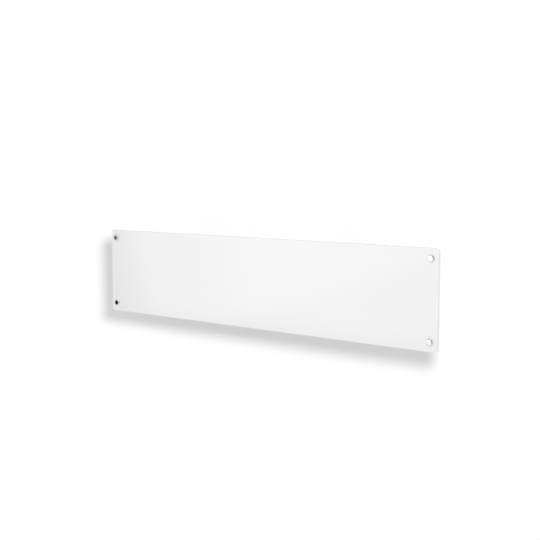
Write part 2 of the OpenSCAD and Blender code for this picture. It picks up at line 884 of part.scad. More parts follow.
module element_insulators() {
    color("ivory") for (end = [-1, 1]) {
        plate_x = end < 0 ? hanger_left_x : hanger_right_x;
        at_element(plate_x) rotate([0, end < 0 ? 180 : 0, 0]) difference() {
            union() {
                translate([0, 0, -insulator_l + hanger_t]) cylinder(h = insulator_l, d = insulator_d);
                translate([0, 0, hanger_t])
                    cylinder(h = insulator_flange_t, d = insulator_flange_d);
            }
            translate([0, 0, -insulator_l]) cylinder(h = 3 * insulator_l, d = rod_d + 2 * fit);
        }
    }
}

// Bent steel hangers on the casing's back wall that hold the insulators
module element_hangers() {
    color("silver") for (end = [-1, 1]) {
        plate_x = end < 0 ? hanger_left_x - hanger_t : hanger_right_x;
        fold_x = end < 0 ? plate_x : plate_x - hanger_fold + hanger_t;
        difference() {
            union() {
                along_x(plate_x, hanger_t) hanger_outline();
                box(fold_x, inner_back_y - hanger_t, element_z - hanger_h / 2,
                    fold_x + hanger_fold, inner_back_y, element_z + hanger_h / 2);
            }
            at_element(plate_x - cut) cylinder(h = hanger_t + 2 * cut, d = insulator_d + 2 * fit);
        }
    }
}

module hanger_outline() {
    translate([inner_back_y - hanger_reach / 2, element_z]) {
        translate([hanger_reach / 4, 0]) square([hanger_reach / 2, hanger_h], center = true);
        rounded_rect(hanger_reach, hanger_h, hanger_corner_r);
    }
}

// Disc thermostat on a small plate that is riveted to the back wall
module thermal_cutout() {
    plate_l = 36;
    flange_t = 1;
    disc_h = 8;
    cap_t = 2;
    tab_w = 6;
    tab_t = 0.8;
    color("dimgray") translate([cutout_x, 0, cutout_z]) {
        forward(inner_back_y, flange_t) rounded_rect(plate_l, cutout_d, 3);
        peg(inner_back_y - flange_t, disc_h, cutout_d);
        peg(inner_back_y - flange_t - disc_h, cap_t, cutout_d - 4);
        for (side = [-1, 1]) translate([side * cutout_tab_x, cutout_y, 0])
            cube([cutout_tab_l, tab_t, tab_w], center = true);
    }
}

// Steel wall between the hot chamber and the electronics bay
module bulkhead() {
    fold_w = 5;
    fold_h = 10;
    w = casing_d - 2 * sheet_t - 2 * slack;
    h = casing_h - 2 * sheet_t - 2 * slack;
    color("silver") difference() {
        union() {
            along_x(bulkhead_x, bulkhead_t) translate([casing_mid_y, 0])
                rounded_rect(w, h, inner_bend_r);
            for (z = [element_z - fin_h / 4, element_z + fin_h * 0.6])
                box(bulkhead_x, inner_back_y - bulkhead_t, z,
                    bulkhead_x + fold_w, inner_back_y, z + fold_h);
        }
        at_grommet(-cut) cylinder(h = bulkhead_t + 2 * cut, d = grommet_hole_d);
    }
}

module at_grommet(offset_x) {
    translate([bulkhead_x + offset_x, grommet_y, grommet_z]) rotate([0, 90, 0]) children();
}

module bulkhead_grommet() {
    rim_t = 1.5;
    color("dimgray") difference() {
        union() {
            at_grommet(-rim_t) cylinder(h = rim_t, d = grommet_hole_d + 1.6);
            at_grommet(-rim_t) cylinder(h = bulkhead_t + 2 * rim_t, d = grommet_hole_d - 2 * fit);
            at_grommet(bulkhead_t) cylinder(h = rim_t, d = grommet_hole_d + 1.6);
        }
        at_grommet(-2 * rim_t) cylinder(h = bulkhead_t + 4 * rim_t, d = grommet_hole_d - 3);
    }
}

// Controls

// Moulded tray in the casing's top wall: the control panel is its upper face
module control_housing() {
    color("whitesmoke") difference() {
        union() {
            translate([ctl_x, ctl_y, casing_top]) linear_extrude(ctl_wall)
                rounded_rect(ctl_w + 2 * ctl_margin, ctl_d + 2 * ctl_margin, 4);
            translate([ctl_x, ctl_y, casing_top - ctl_skirt]) linear_extrude(ctl_skirt + cut / 2)
                difference() {
                    rounded_rect(ctl_w, ctl_d, 3);
                    rounded_rect(ctl_w - 2 * ctl_wall, ctl_d - 2 * ctl_wall, 1);
                }
            at_board_corners() translate([0, 0, board_top])
                cylinder(h = casing_top - board_top + cut / 2, d = post_d);
        }
        at_buttons() translate([0, 0, casing_top - cut])
            cylinder(h = ctl_wall + 2 * cut, d = button_d + 2 * slack);
        translate([ctl_x, window_y, casing_top - cut]) linear_extrude(ctl_wall + 2 * cut)
            square([window_w - 3, window_d - 3], center = true);
        translate([ctl_x, window_y, ctl_top - window_t]) linear_extrude(window_t + cut)
            square([window_w + 2 * fit, window_d + 2 * fit], center = true);
    }
}

module at_board_corners() {
    for (x = [-1, 1], y = [-1, 1])
        translate([ctl_x + x * (board_w / 2 - post_d / 2 - 0.5),
            ctl_y + y * (board_d / 2 - post_d / 2 - 0.5), 0]) children();
}

module at_buttons() {
    for (i = [0:3]) translate([button_x(i), button_y, 0]) children();
}
function button_x(i) = ctl_x + (i - 1.5) * button_pitch;

module display_window() {
    color("black") translate([ctl_x, window_y, ctl_top - window_t])
        linear_extrude(window_t) square([window_w, window_d], center = true);
}

module display_module() {
    h = casing_top - 0.3 - board_top;
    color("dimgray") translate([ctl_x, window_y, board_top]) linear_extrude(h)
        square([window_w - 4, window_d + 1], center = true);
}

// Board with three chips and a plug's header on its underside
module control_board() {
    chip_x = [-30, -21, -12];
    chip_w = 6;
    chip_d = 7;
    chip_t = 1.2;
    header_w = 16;
    header_d = 5;
    header_t = 5;
    under_z = board_top - board_t;
    color("darkgreen") {
        translate([ctl_x, ctl_y, under_z]) linear_extrude(board_t)
            rounded_rect(board_w, board_d, 1);
        for (x = chip_x)
            box(ctl_x + x, ctl_y - chip_d / 2, under_z - chip_t,
                ctl_x + x + chip_w, ctl_y + chip_d / 2, under_z + cut / 2);
        box(ctl_x - header_w / 2, plug_y - header_d / 2, under_z - header_t,
            ctl_x + header_w / 2, plug_y + header_d / 2, under_z + cut / 2);
    }
}

// Small board with a screening can, below the control board
module wireless_module() {
    board_l = 24;
    board_side = 18;
    side_x = ctl_x + 10;
    sheet = 0.8;
    can_l = 15;
    can_t = 2.3;
    margin = 1.5;
    top = board_top - board_t;
    color("darkblue") {
        box(side_x, ctl_y - board_l / 2, top - sheet, side_x + board_side, ctl_y + board_l / 2, top);
        box(side_x + margin, ctl_y - board_l / 2 + margin, top - sheet - can_t,
            side_x + board_side - margin, ctl_y - board_l / 2 + margin + can_l, top - sheet / 2);
    }
}

// Rubber sheet with a dome below each button
module keypad() {
    w = 3 * button_pitch + dome_d;
    color("gray") {
        translate([ctl_x, button_y, board_top]) linear_extrude(keypad_t)
            rounded_rect(w, dome_d + 4, 2);
        at_buttons() translate([0, 0, board_top + keypad_t - cut / 2])
            cylinder(h = dome_h + cut / 2, d1 = dome_d, d2 = dome_d - 2);
    }
}

module button(i) {
    edge = 0.4;
    r = button_d / 2;
    top = ctl_top + button_rise - button_base_z;
    color("gainsboro") translate([button_x(i), button_y, button_base_z]) rotate_extrude()
        polygon([[0, 0], [button_collar_d / 2, 0], [button_collar_d / 2, collar_t], [r, collar_t],
            [r, top - edge], [r - edge, top], [0, top]]);
}

module button_power() { button(0); }

module button_minus() { button(1); }

module button_plus() { button(2); }

module button_mode() { button(3); }

// Power electronics

module at_posts() {
    for (x = [-1, 1], z = [-1, 1])
        translate([power_x + x * (power_w / 2 - post_d), 0, power_z + z * (power_h / 2 - post_d)])
            children();
}

// Spacers with a neck through the board and a head that snaps over it
module board_posts() {
    head_t = 2;
    color("ivory") at_posts() {
        peg(inner_back_y, post_h, post_d);
        peg(power_back_y - board_t, head_t, post_d);
        peg(inner_back_y, post_h + board_t + head_t / 2, post_neck_d);
    }
}

module power_board() {
    face_y = power_back_y - board_t;
    color("darkgreen") difference() {
        union() {
            forward(power_back_y, board_t) translate([power_x, power_z])
                rounded_rect(power_w, power_h, 2);
            translate([power_x, face_y + cut / 2, power_z]) power_parts();
        }
        at_posts() peg(power_back_y + cut, board_t + 2 * cut, post_neck_d + 2 * fit);
    }
}

// Parts on the board's front, each as [left, bottom, width, height, depth]
module power_parts() {
    relay = [-28, 12, 26, 18, 16];
    transformer_core = [4, 8, 24, 24, 20];
    transformer_winding = [8, 12, 16, 16, 22];
    varistor = [-4, -24, 4, 14, 12];
    header = [10, -6, 20, 6, 8];
    connectors = [for (x = [-26, -10, 6]) [x, -42, 14, 8, 11]];
    capacitor_x = -20;
    capacitor_z = -14;
    capacitor_d = 12;
    capacitor_h = 18;
    for (part = concat([relay, transformer_core, transformer_winding, varistor, header], connectors))
        box(part[0], -part[4], part[1], part[0] + part[2], 0, part[1] + part[3]);
    translate([capacitor_x, 0, capacitor_z]) peg(0, capacitor_h, capacitor_d);
}

// Three poles, each with two screw wells and a hole for its wire
module terminal_block() {
    base_d = 14;
    pole_w = 9;
    pole_d = 20;
    well_z = 5;
    well_d = 4.4;
    well_depth = 4;
    wire_depth = 6;
    color("ivory") translate([block_x, inner_back_y, block_z]) difference() {
        union() {
            box(-block_w / 2, -base_d, -block_h / 2, block_w / 2, 0, block_h / 2);
            at_poles() box(-pole_w / 2, -pole_d, -block_h / 2, pole_w / 2, cut - base_d, block_h / 2);
        }
        at_poles() {
            for (z = [-well_z, well_z]) translate([0, well_depth - pole_d, z])
                peg(0, well_depth + cut, well_d);
            translate([0, block_entry_y - inner_back_y, -block_h / 2 - cut])
                cylinder(h = wire_depth + cut, d = wire_d + 0.8);
        }
    }
}

module at_poles() {
    for (i = [-1:1]) translate([block_pitch * i, 0, 0]) children();
}

module room_sensor() {
    color("black") translate([sensor_x, sensor_y, sensor_z])
        rotate([0, 90, 0]) {
            cylinder(h = sensor_l, d = sensor_d);
            translate([0, 0, sensor_l]) sphere(d = sensor_d);
        }
}

// Open ring on a foot, into which the sensor is pressed from above
module sensor_clip() {
    ring_d = sensor_d + 3;
    ring_w = sensor_l / 2;
    mouth_w = sensor_d * 0.64;
    color("ivory") translate([sensor_x + sensor_l / 4, sensor_y, 0]) difference() {
        union() {
            box(0, -ring_d / 2, inner_bottom, ring_w, ring_d / 2, sensor_z);
            translate([0, 0, sensor_z]) rotate([0, 90, 0]) cylinder(h = ring_w, d = ring_d);
        }
        translate([-cut, 0, sensor_z]) rotate([0, 90, 0])
            cylinder(h = ring_w + 2 * cut, d = sensor_d + 2 * fit);
        box(-cut, -mouth_w / 2, sensor_z, ring_w + cut, mouth_w / 2, sensor_z + ring_d);
    }
}

function unit(v) = v / norm(v);

// The ring of points at a bend: the last ring drawn along its run to the plane of the mitre
function mitred(ring, run, point, normal) =
    [for (p = ring) p + run * ((point - p) * normal) / (run * normal)];

function wire_rings(points, i, ring) =
    let (run = unit(points[i] - points[i - 1]))
    i == len(points) - 1 ? [mitred(ring, run, points[i], run)] :
    let (next = mitred(ring, run, points[i], unit(run + unit(points[i + 1] - points[i]))))
    concat([next], wire_rings(points, i + 1, next));

// A wire along a list of points, mitred where it bends
module wire(points) {
    run = unit(points[1] - points[0]);
    side = unit(cross(run, abs(run.z) < 0.9 ? [0, 0, 1] : [1, 0, 0]));
    over = cross(side, run);
    first = [for (k = [0:wire_sides - 1])
        points[0] + wire_d / 2 * (side * cos(360 * k / wire_sides) + over * sin(360 * k / wire_sides))];
    rings = concat([first], wire_rings(points, 1, first));
    last = wire_sides * (len(points) - 1);
    polyhedron(points = [for (ring = rings, p = ring) p],
        faces = concat([[for (k = [wire_sides - 1:-1:0]) k]],
            [for (i = [0:len(points) - 2], k = [0:wire_sides - 1]) let (next = (k + 1) % wire_sides)
                [i * wire_sides + k, i * wire_sides + next, (i + 1) * wire_sides + next,
                    (i + 1) * wire_sides + k]],
            [[for (k = [0:wire_sides - 1]) last + k]]));
}

// Leads of the element and the cut-out, of the switch, of the sensor and of the control board
module wiring() {
    gap = 0.1;
    stub = 2;
    bundle = 2.8;
    left_x = rod_left_x - terminal_l;
    right_x = rod_right_x + terminal_l;
    rise_x = bulkhead_x + 4.5;
    block_entry_z = wire_bus_z + 8;
    cutout_reach = cutout_tab_x + cutout_tab_l / 2 + gap;
    cutout_loop_x = cutout_x - cutout_reach - 2 * stub;
    cutout_loop_z = cutout_z + 10;
    board_entry_y = grommet_y - 6;
    board_entry_z = power_z - power_h / 2 + 2.9;
    board_low_z = board_entry_z - 9;
    board_lower_z = board_low_z - 4;
    board_entries = [power_x - 24, power_x - 8, power_x + 13];
    blade_x = switch_face_x - switch_bezel - switch_depth - switch_blade_l - gap;
    block_side_x = block_x + block_w / 2 + gap;
    plug_pitch = 3;
    plug_low_z = power_z + 34;
    color("firebrick") {
        wire([[left_x - gap, casing_mid_y, element_z], [left_x - stub, casing_mid_y, element_z],
            [left_x - stub, wire_bus_y, wire_bus_z], [block_x - block_pitch, wire_bus_y, wire_bus_z],
            [block_x - block_pitch, block_entry_y, wire_bus_z],
            [block_x - block_pitch, block_entry_y, block_entry_z]]);
        wire([[right_x + gap, casing_mid_y, element_z], [right_x + stub, casing_mid_y, element_z],
            [right_x + stub, grommet_y, grommet_z - bundle],
            [block_x + block_pitch, grommet_y, grommet_z - bundle],
            [block_x + block_pitch, block_entry_y, block_entry_z]]);
        wire([[cutout_x - cutout_reach, cutout_y, cutout_z], [cutout_loop_x, cutout_y, cutout_z],
            [cutout_loop_x, cutout_y, cutout_loop_z], [right_x - 4 * stub, cutout_y, cutout_loop_z],
            [right_x - 4 * stub, grommet_y - bundle, grommet_z],
            [rise_x, grommet_y - bundle, grommet_z], [rise_x, grommet_y - bundle, board_low_z],
            [board_entries[0], board_entry_y, board_low_z],
            [board_entries[0], board_entry_y, board_entry_z]]);
        wire([[cutout_x + cutout_reach, cutout_y, cutout_z], [right_x - 2 * stub, cutout_y, cutout_z],
            [right_x - 2 * stub, grommet_y, grommet_z + bundle],
            [rise_x, grommet_y, grommet_z + bundle], [rise_x, grommet_y, board_lower_z],
            [board_entries[1], board_entry_y, board_lower_z],
            [board_entries[1], board_entry_y, board_entry_z]]);
        wire([[blade_x, switch_y, switch_z + switch_blade_z],
            [blade_x - 2 * stub, switch_y, switch_z + switch_blade_z],
            [board_entries[2], board_entry_y, board_low_z],
            [board_entries[2], board_entry_y, board_entry_z]]);
        wire([[blade_x, switch_y, switch_z - switch_blade_z],
            [blade_x - 2 * stub, switch_y, switch_z - switch_blade_z],
            [block_side_x + 4 * stub, block_entry_y - bundle, switch_z - switch_blade_z],
            [block_side_x, block_entry_y - bundle, switch_z - switch_blade_z]]);
        for (i = [0:2])
            wire([[ctl_x + (i - 0.7) * plug_pitch, plug_y, plug_z],
                [ctl_x + (i - 0.7) * plug_pitch, plug_y, plug_low_z],
                [power_x + 14 + i * plug_pitch, plug_y + 6, header_z],
                [power_x + 14 + i * plug_pitch, power_back_y - board_t - 8.1, header_z]]);
        wire([[sensor_x - gap, sensor_y, sensor_z], [sensor_x - 10, sensor_y, sensor_z],
            [ctl_x - 5.5, plug_y, sensor_z + 20], [ctl_x - 5.5, plug_y, plug_z]]);
    }
}

// Plastic clips that hold the long lead to the back wall, clear of the hooks' rivets
module wire_clips() {
    foot_h = 6;
    color("ivory") for (x = [-arm_x - 2 * clip_space, clip_space - arm_x, 0, arm_x - clip_space])
        along_x(x, clip_w) difference() {
            union() {
                translate([wire_bus_y, wire_bus_z]) circle(wire_d / 2 + 1.4);
                translate([wire_bus_y, wire_bus_z - foot_h / 2])
                    square([inner_back_y - wire_bus_y, foot_h]);
            }
            translate([wire_bus_y, wire_bus_z]) circle(wire_d / 2 + fit);
        }
}

// Cord inlet

module cord_gland() {
    color("dimgray") translate([gland_x, gland_y, casing_bottom]) difference() {
        union() {
            translate([0, 0, -gland_flange_t]) cylinder(h = gland_flange_t, d = gland_flange_d);
            cylinder(h = gland_thread_l, d = gland_thread_d);
            translate([0, 0, -gland_flange_t - gland_nose_l])
                cylinder(h = gland_nose_l, d1 = gland_nose_d - 3, d2 = gland_nose_d);
        }
        translate([0, 0, -gland_flange_t - gland_nose_l - cut])
            cylinder(h = gland_flange_t + gland_nose_l + gland_thread_l + 2 * cut, d = gland_bore_d);
    }
}

module gland_nut() {
    color("dimgray") translate([gland_x, gland_y, inner_bottom]) difference() {
        cylinder(h = gland_nut_t, d = gland_nut_d, $fn = 6);
        translate([0, 0, -cut]) cylinder(h = gland_nut_t + 2 * cut, d = gland_thread_d + 2 * fit);
    }
}

// Mains switch

module switch_housing() {
    well_h = 2 * rocker_r + 0.8;
    well_w = rocker_w + 0.6;
    well_d = 13;
    blade_w = 4.8;
    blade_t = 0.8;
    back_x = switch_face_x - switch_bezel - switch_depth;
    color("black") difference() {
        union() {
            along_x(casing_side + sheet_t, switch_bezel) translate([switch_y, switch_z])
                rounded_rect(switch_w + 2 * switch_rim, switch_h + 2 * switch_rim, 1.5);
            along_x(back_x, switch_depth + cut / 2)
                translate([switch_y, switch_z]) square([switch_w, switch_h], center = true);
            for (z = [-switch_blade_z, switch_blade_z])
                box(back_x - switch_blade_l, switch_y - blade_w / 2, switch_z + z - blade_t / 2,
                    back_x + cut, switch_y + blade_w / 2, switch_z + z + blade_t / 2);
        }
        along_x(switch_face_x - well_d, well_d + cut) translate([switch_y, switch_z])
            square([well_w, well_h], center = true);
        translate([rocker_x, switch_y - switch_w / 2 + 0.3, switch_z]) rotate([-90, 0, 0])
            cylinder(h = switch_w - 0.6, r = rocker_pin_d / 2 + rocker_play);
    }
}

// Rocker resting in its off place: its lower end stands out
module mains_rocker() {
    pin_l = switch_w - 1.2;
    back = -4;
    tip = 5;
    dip = 3.6;
    color("red") translate([rocker_x, switch_y, switch_z]) rotate([0, -rocker_tilt, 0]) {
        rotate([90, 0, 0]) translate([0, 0, -rocker_w / 2]) linear_extrude(rocker_w)
            intersection() {
                circle(rocker_r);
                polygon([[back, -rocker_r], [tip, -rocker_r], [dip, 0], [tip, rocker_r],
                    [back, rocker_r]]);
            }
        translate([0, -pin_l / 2, 0]) rotate([-90, 0, 0]) cylinder(h = pin_l, d = rocker_pin_d);
    }
}

wall_rail();
bracket_arm_left();
bracket_arm_right();
hinge_pins();
catch_pins();
arm_pads();
catch_left();
catch_right();
glass_panel();
glass_caps();
cap_washers();
glass_spacers();
glass_studs();
stud_nuts();
carrier_plate();
plate_screws();
rear_shell();
end_panel_left();
end_panel_right();
end_screws();
casing_hooks();
hook_rivets();
catch_strikers();
outlet_grille();
inlet_grille();
heat_shield();
element_rod();
element_fins();
element_insulators();
element_hangers();
thermal_cutout();
bulkhead();
bulkhead_grommet();
control_housing();
display_window();
display_module();
control_board();
wireless_module();
keypad();
button_power();
button_minus();
button_plus();
button_mode();
power_board();
board_posts();
terminal_block();
room_sensor();
sensor_clip();
wiring();
wire_clips();
cord_gland();
gland_nut();
switch_housing();
mains_rocker();
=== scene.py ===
import math

import bmesh
import bpy
from mathutils import Matrix, Vector


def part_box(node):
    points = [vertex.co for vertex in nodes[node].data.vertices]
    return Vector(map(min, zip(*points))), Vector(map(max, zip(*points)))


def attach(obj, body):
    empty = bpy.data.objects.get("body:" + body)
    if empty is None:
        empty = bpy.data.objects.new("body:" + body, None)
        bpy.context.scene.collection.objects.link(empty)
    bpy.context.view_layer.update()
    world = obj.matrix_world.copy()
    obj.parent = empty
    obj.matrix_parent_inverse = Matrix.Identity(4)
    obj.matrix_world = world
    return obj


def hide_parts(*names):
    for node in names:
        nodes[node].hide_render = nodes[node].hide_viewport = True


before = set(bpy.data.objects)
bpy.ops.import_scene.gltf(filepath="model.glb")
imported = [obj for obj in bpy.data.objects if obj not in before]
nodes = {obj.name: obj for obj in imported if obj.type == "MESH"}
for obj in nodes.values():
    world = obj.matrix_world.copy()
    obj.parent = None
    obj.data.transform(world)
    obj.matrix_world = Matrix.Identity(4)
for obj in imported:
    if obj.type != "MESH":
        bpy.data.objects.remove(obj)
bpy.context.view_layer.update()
print("frame loaded:", len(nodes), "nodes")

mm = 0.001
scene = bpy.context.scene


# camera, as the photograph was taken
view = {
    "place": (1.43628, -1.82628, 0.27030),
    "looks": (-0.62038, 0.77721, -0.10522),
    "lens": 62.85,
    "sensor": 36.0,
}


def makeCamera():
    lensData = bpy.data.cameras.new("viewCamera")
    lensData.lens = view["lens"]
    lensData.sensor_width = view["sensor"]
    camera = bpy.data.objects.new("viewCamera", lensData)
    scene.collection.objects.link(camera)
    camera.location = view["place"]
    camera.rotation_euler = Vector(view["looks"]).to_track_quat("-Z", "Y").to_euler()
    scene.camera = camera


# node helpers: a material is built as a chain of sockets
def addNode(tree, kind, inputs=None, **settings):
    node = tree.nodes.new(kind)
    for key, value in settings.items():
        setattr(node, key, value)
    for key, value in (inputs or {}).items():
        socket = node.inputs[key]
        if isinstance(value, bpy.types.NodeSocket):
            tree.links.new(value, socket)
        else:
            socket.default_value = value
    return node


def mathNode(tree, operation, *values):
    return addNode(tree, "ShaderNodeMath", dict(enumerate(values)), operation=operation).outputs[0]


def stretchRange(tree, value, low, high, outLow, outHigh, smooth=False):
    kind = "SMOOTHSTEP" if smooth else "LINEAR"
    return addNode(tree, "ShaderNodeMapRange", {
        "Value": value, "From Min": low, "From Max": high, "To Min": outLow, "To Max": outHigh,
    }, interpolation_type=kind, clamp=True).outputs["Result"]


def mixLevels(tree, share, first, second):
    return addNode(tree, "ShaderNodeMix", {0: share, 2: first, 3: second}).outputs[0]


def mixColour(tree, share, first, second):
    node = addNode(tree, "ShaderNodeMix", data_type="RGBA")
    for index, value in ((0, share), (6, first), (7, second)):
        if isinstance(value, bpy.types.NodeSocket):
            tree.links.new(value, node.inputs[index])
        else:
            node.inputs[index].default_value = value if index == 0 else (*value, 1)
    return node.outputs[2]


# nearly all of a noise texture's values lie within these
noiseSpan = {"wide": (0.3, 0.7), "narrow": (0.35, 0.65)}


def noiseAt(tree, coords, scale, detail=3.0, rough=0.55):
    return addNode(tree, "ShaderNodeTexNoise", {
        "Vector": coords, "Scale": scale, "Detail": detail, "Roughness": rough,
    }).outputs["Fac"]


def objectCoords(tree, stretch=(1, 1, 1)):
    here = addNode(tree, "ShaderNodeTexCoord").outputs["Object"]
    if tuple(stretch) == (1, 1, 1):
        return here
    return addNode(tree, "ShaderNodeMapping", {"Vector": here, "Scale": stretch}).outputs["Vector"]


def startMaterial(name, metallic=0.0, ior=1.5):
    mat = bpy.data.materials.new(name)
    mat.use_nodes = True
    shader = mat.node_tree.nodes["Principled BSDF"]
    shader.inputs["Metallic"].default_value = metallic
    shader.inputs["IOR"].default_value = ior
    return mat, mat.node_tree, shader


def setBump(tree, shader, height, depth, strength=1.0):
    bump = addNode(tree, "ShaderNodeBump", {"Height": height, "Distance": depth,
                                            "Strength": strength})
    tree.links.new(bump.outputs["Normal"], shader.inputs["Normal"])


# most finishes are a ground colour with patches, a roughness that wanders and a fine grain
def grainedFinish(name, ground, patch, rough, patchScale, grainScale, grainDepth,
                  stretch=(1, 1, 1), metallic=0.0):
    mat, tree, shader = startMaterial(name, metallic)
    coords = objectCoords(tree, stretch)
    patches = noiseAt(tree, coords, patchScale)
    grain = noiseAt(tree, coords, grainScale, 2.0)
    spread = stretchRange(tree, patches, *noiseSpan["narrow"], 0.0, 1.0)
    tree.links.new(mixColour(tree, spread, ground, patch), shader.inputs["Base Color"])
    wander = mathNode(tree, "ADD", mathNode(tree, "MULTIPLY", patches, 0.5),
                      mathNode(tree, "MULTIPLY", grain, 0.5))
    tree.links.new(stretchRange(tree, wander, *noiseSpan["wide"], *rough),
                   shader.inputs["Roughness"])
    setBump(tree, shader, grain, grainDepth)
    return mat


finishes = {
    "powderWhite": dict(
        ground=(0.80, 0.80, 0.79), patch=(0.77, 0.77, 0.76), rough=(0.34, 0.46),
        patchScale=14, grainScale=900, grainDepth=0.03 * mm),
    "zincPlate": dict(
        ground=(0.66, 0.67, 0.70), patch=(0.56, 0.56, 0.55), rough=(0.22, 0.36),
        patchScale=260, grainScale=2400, grainDepth=0.01 * mm, metallic=1.0),
    "satinAluminium": dict(
        ground=(0.72, 0.73, 0.74), patch=(0.66, 0.67, 0.68), rough=(0.28, 0.4),
        patchScale=12, grainScale=1500, grainDepth=0.012 * mm, metallic=0.9,
        stretch=(0.02, 1, 1)),
    "millAluminium": dict(
        ground=(0.78, 0.79, 0.80), patch=(0.66, 0.67, 0.69), rough=(0.2, 0.38),
        patchScale=60, grainScale=1100, grainDepth=0.012 * mm, metallic=1.0,
        stretch=(1, 1, 0.05)),
    "rolledAluminium": dict(
        ground=(0.80, 0.81, 0.82), patch=(0.72, 0.73, 0.75), rough=(0.16, 0.3),
        patchScale=24, grainScale=900, grainDepth=0.01 * mm, metallic=1.0,
        stretch=(0.03, 1, 1)),
    "heatTintedSteel": dict(
        ground=(0.34, 0.31, 0.29), patch=(0.20, 0.18, 0.19), rough=(0.3, 0.5),
        patchScale=90, grainScale=1400, grainDepth=0.015 * mm, metallic=0.9,
        stretch=(0.2, 1, 1)),
    "glazedCeramic": dict(
        ground=(0.86, 0.84, 0.78), patch=(0.80, 0.77, 0.70), rough=(0.14, 0.3),
        patchScale=220, grainScale=900, grainDepth=0.03 * mm),
    "blackRubber": dict(
        ground=(0.035, 0.035, 0.036), patch=(0.06, 0.06, 0.058), rough=(0.62, 0.82),
        patchScale=300, grainScale=2600, grainDepth=0.03 * mm),
    "clearRubber": dict(
        ground=(0.55, 0.56, 0.57), patch=(0.47, 0.48, 0.49), rough=(0.3, 0.5),
        patchScale=300, grainScale=2000, grainDepth=0.02 * mm),
    "greySilicone": dict(
        ground=(0.45, 0.46, 0.48), patch=(0.40, 0.41, 0.43), rough=(0.5, 0.66),
        patchScale=180, grainScale=1800, grainDepth=0.02 * mm),
    "darkPlastic": dict(
        ground=(0.10, 0.105, 0.11), patch=(0.13, 0.13, 0.135), rough=(0.42, 0.6),
        patchScale=120, grainScale=2200, grainDepth=0.04 * mm),
    "blackPlastic": dict(
        ground=(0.025, 0.025, 0.027), patch=(0.04, 0.04, 0.042), rough=(0.36, 0.52),
        patchScale=140, grainScale=2400, grainDepth=0.03 * mm),
    "whitePlastic": dict(
        ground=(0.78, 0.78, 0.76), patch=(0.75, 0.75, 0.73), rough=(0.36, 0.48),
        patchScale=60, grainScale=2600, grainDepth=0.03 * mm),
    "ivoryPlastic": dict(
        ground=(0.74, 0.70, 0.58), patch=(0.70, 0.66, 0.53), rough=(0.34, 0.5),
        patchScale=150, grainScale=1800, grainDepth=0.02 * mm),
    "redPlastic": dict(
        ground=(0.55, 0.03, 0.02), patch=(0.46, 0.02, 0.015), rough=(0.18, 0.3),
        patchScale=160, grainScale=1600, grainDepth=0.01 * mm),
    "signInk": dict(
        ground=(0.16, 0.16, 0.17), patch=(0.12, 0.12, 0.13), rough=(0.4, 0.55),
        patchScale=900, grainScale=4000, grainDepth=0.004 * mm),
    "signPaint": dict(
        ground=(0.78, 0.78, 0.77), patch=(0.70, 0.70, 0.69), rough=(0.4, 0.55),
        patchScale=900, grainScale=4000, grainDepth=0.004 * mm),
    "redSleeve": dict(
        ground=(0.42, 0.035, 0.03), patch=(0.34, 0.025, 0.022), rough=(0.42, 0.6),
        patchScale=300, grainScale=2200, grainDepth=0.02 * mm),
    "glassBack": dict(
        ground=(0.60, 0.60, 0.59), patch=(0.57, 0.57, 0.56), rough=(0.4, 0.55),
        patchScale=30, grainScale=1100, grainDepth=0.02 * mm),
}

made = {name: grainedFinish(name, **values) for name, values in finishes.items()}
print("grained finishes:", len(made))


# the glass front, with a faint tint that changes along it and painted shade towards its bottom
# right, and its polished rims, whose bevels carry a painted highlight and painted shade
whiteGlass = {
    "ground": (0.862, 0.862, 0.862),
    "patch": (0.868, 0.858, 0.862),
    "patchRange": (-0.4, 0.4),
    "patchShare": 0.8,
    "cloudScale": 3.0,
    "cloudShare": 0.2,
    # painted shade: the darker colour that the face takes towards its bottom right
    "low": (0.832, 0.828, 0.829),
    "paintedShadeSlope": 3.06,
    "paintedShadeRange": (0.1, 0.36),
    "hazeScale": 60.0,
    "rough": (0.03, 0.055),
    "waveScale": 9.0,
    "waveDepth": 0.02 * mm,
    "waveStrength": 0.4,
    "shine": 1.0,
    "ior": 1.52,
}
# the edges keep the glass's own grey, and the bevels get two copies of one colour: a lighter one,
# painted highlight, and a darker one, painted shade
glassRims = {
    "glassEdge": dict(colour=(0.745, 0.75, 0.748), rough=0.12, frost=0.2),
    "paintedHighlightBevel": dict(colour=(0.94, 0.945, 0.94), rough=0.04, frost=0.08),
    "paintedShadeBevel": dict(colour=(0.665, 0.67, 0.668), rough=0.04, frost=0.08),
}
rimPolish = {
    "stretch": (0.1, 1, 1),
    "streakScale": 1200.0,
    "tintScale": 30.0,
    "tintFade": 0.94,
    "streakDepth": 0.01 * mm,
}


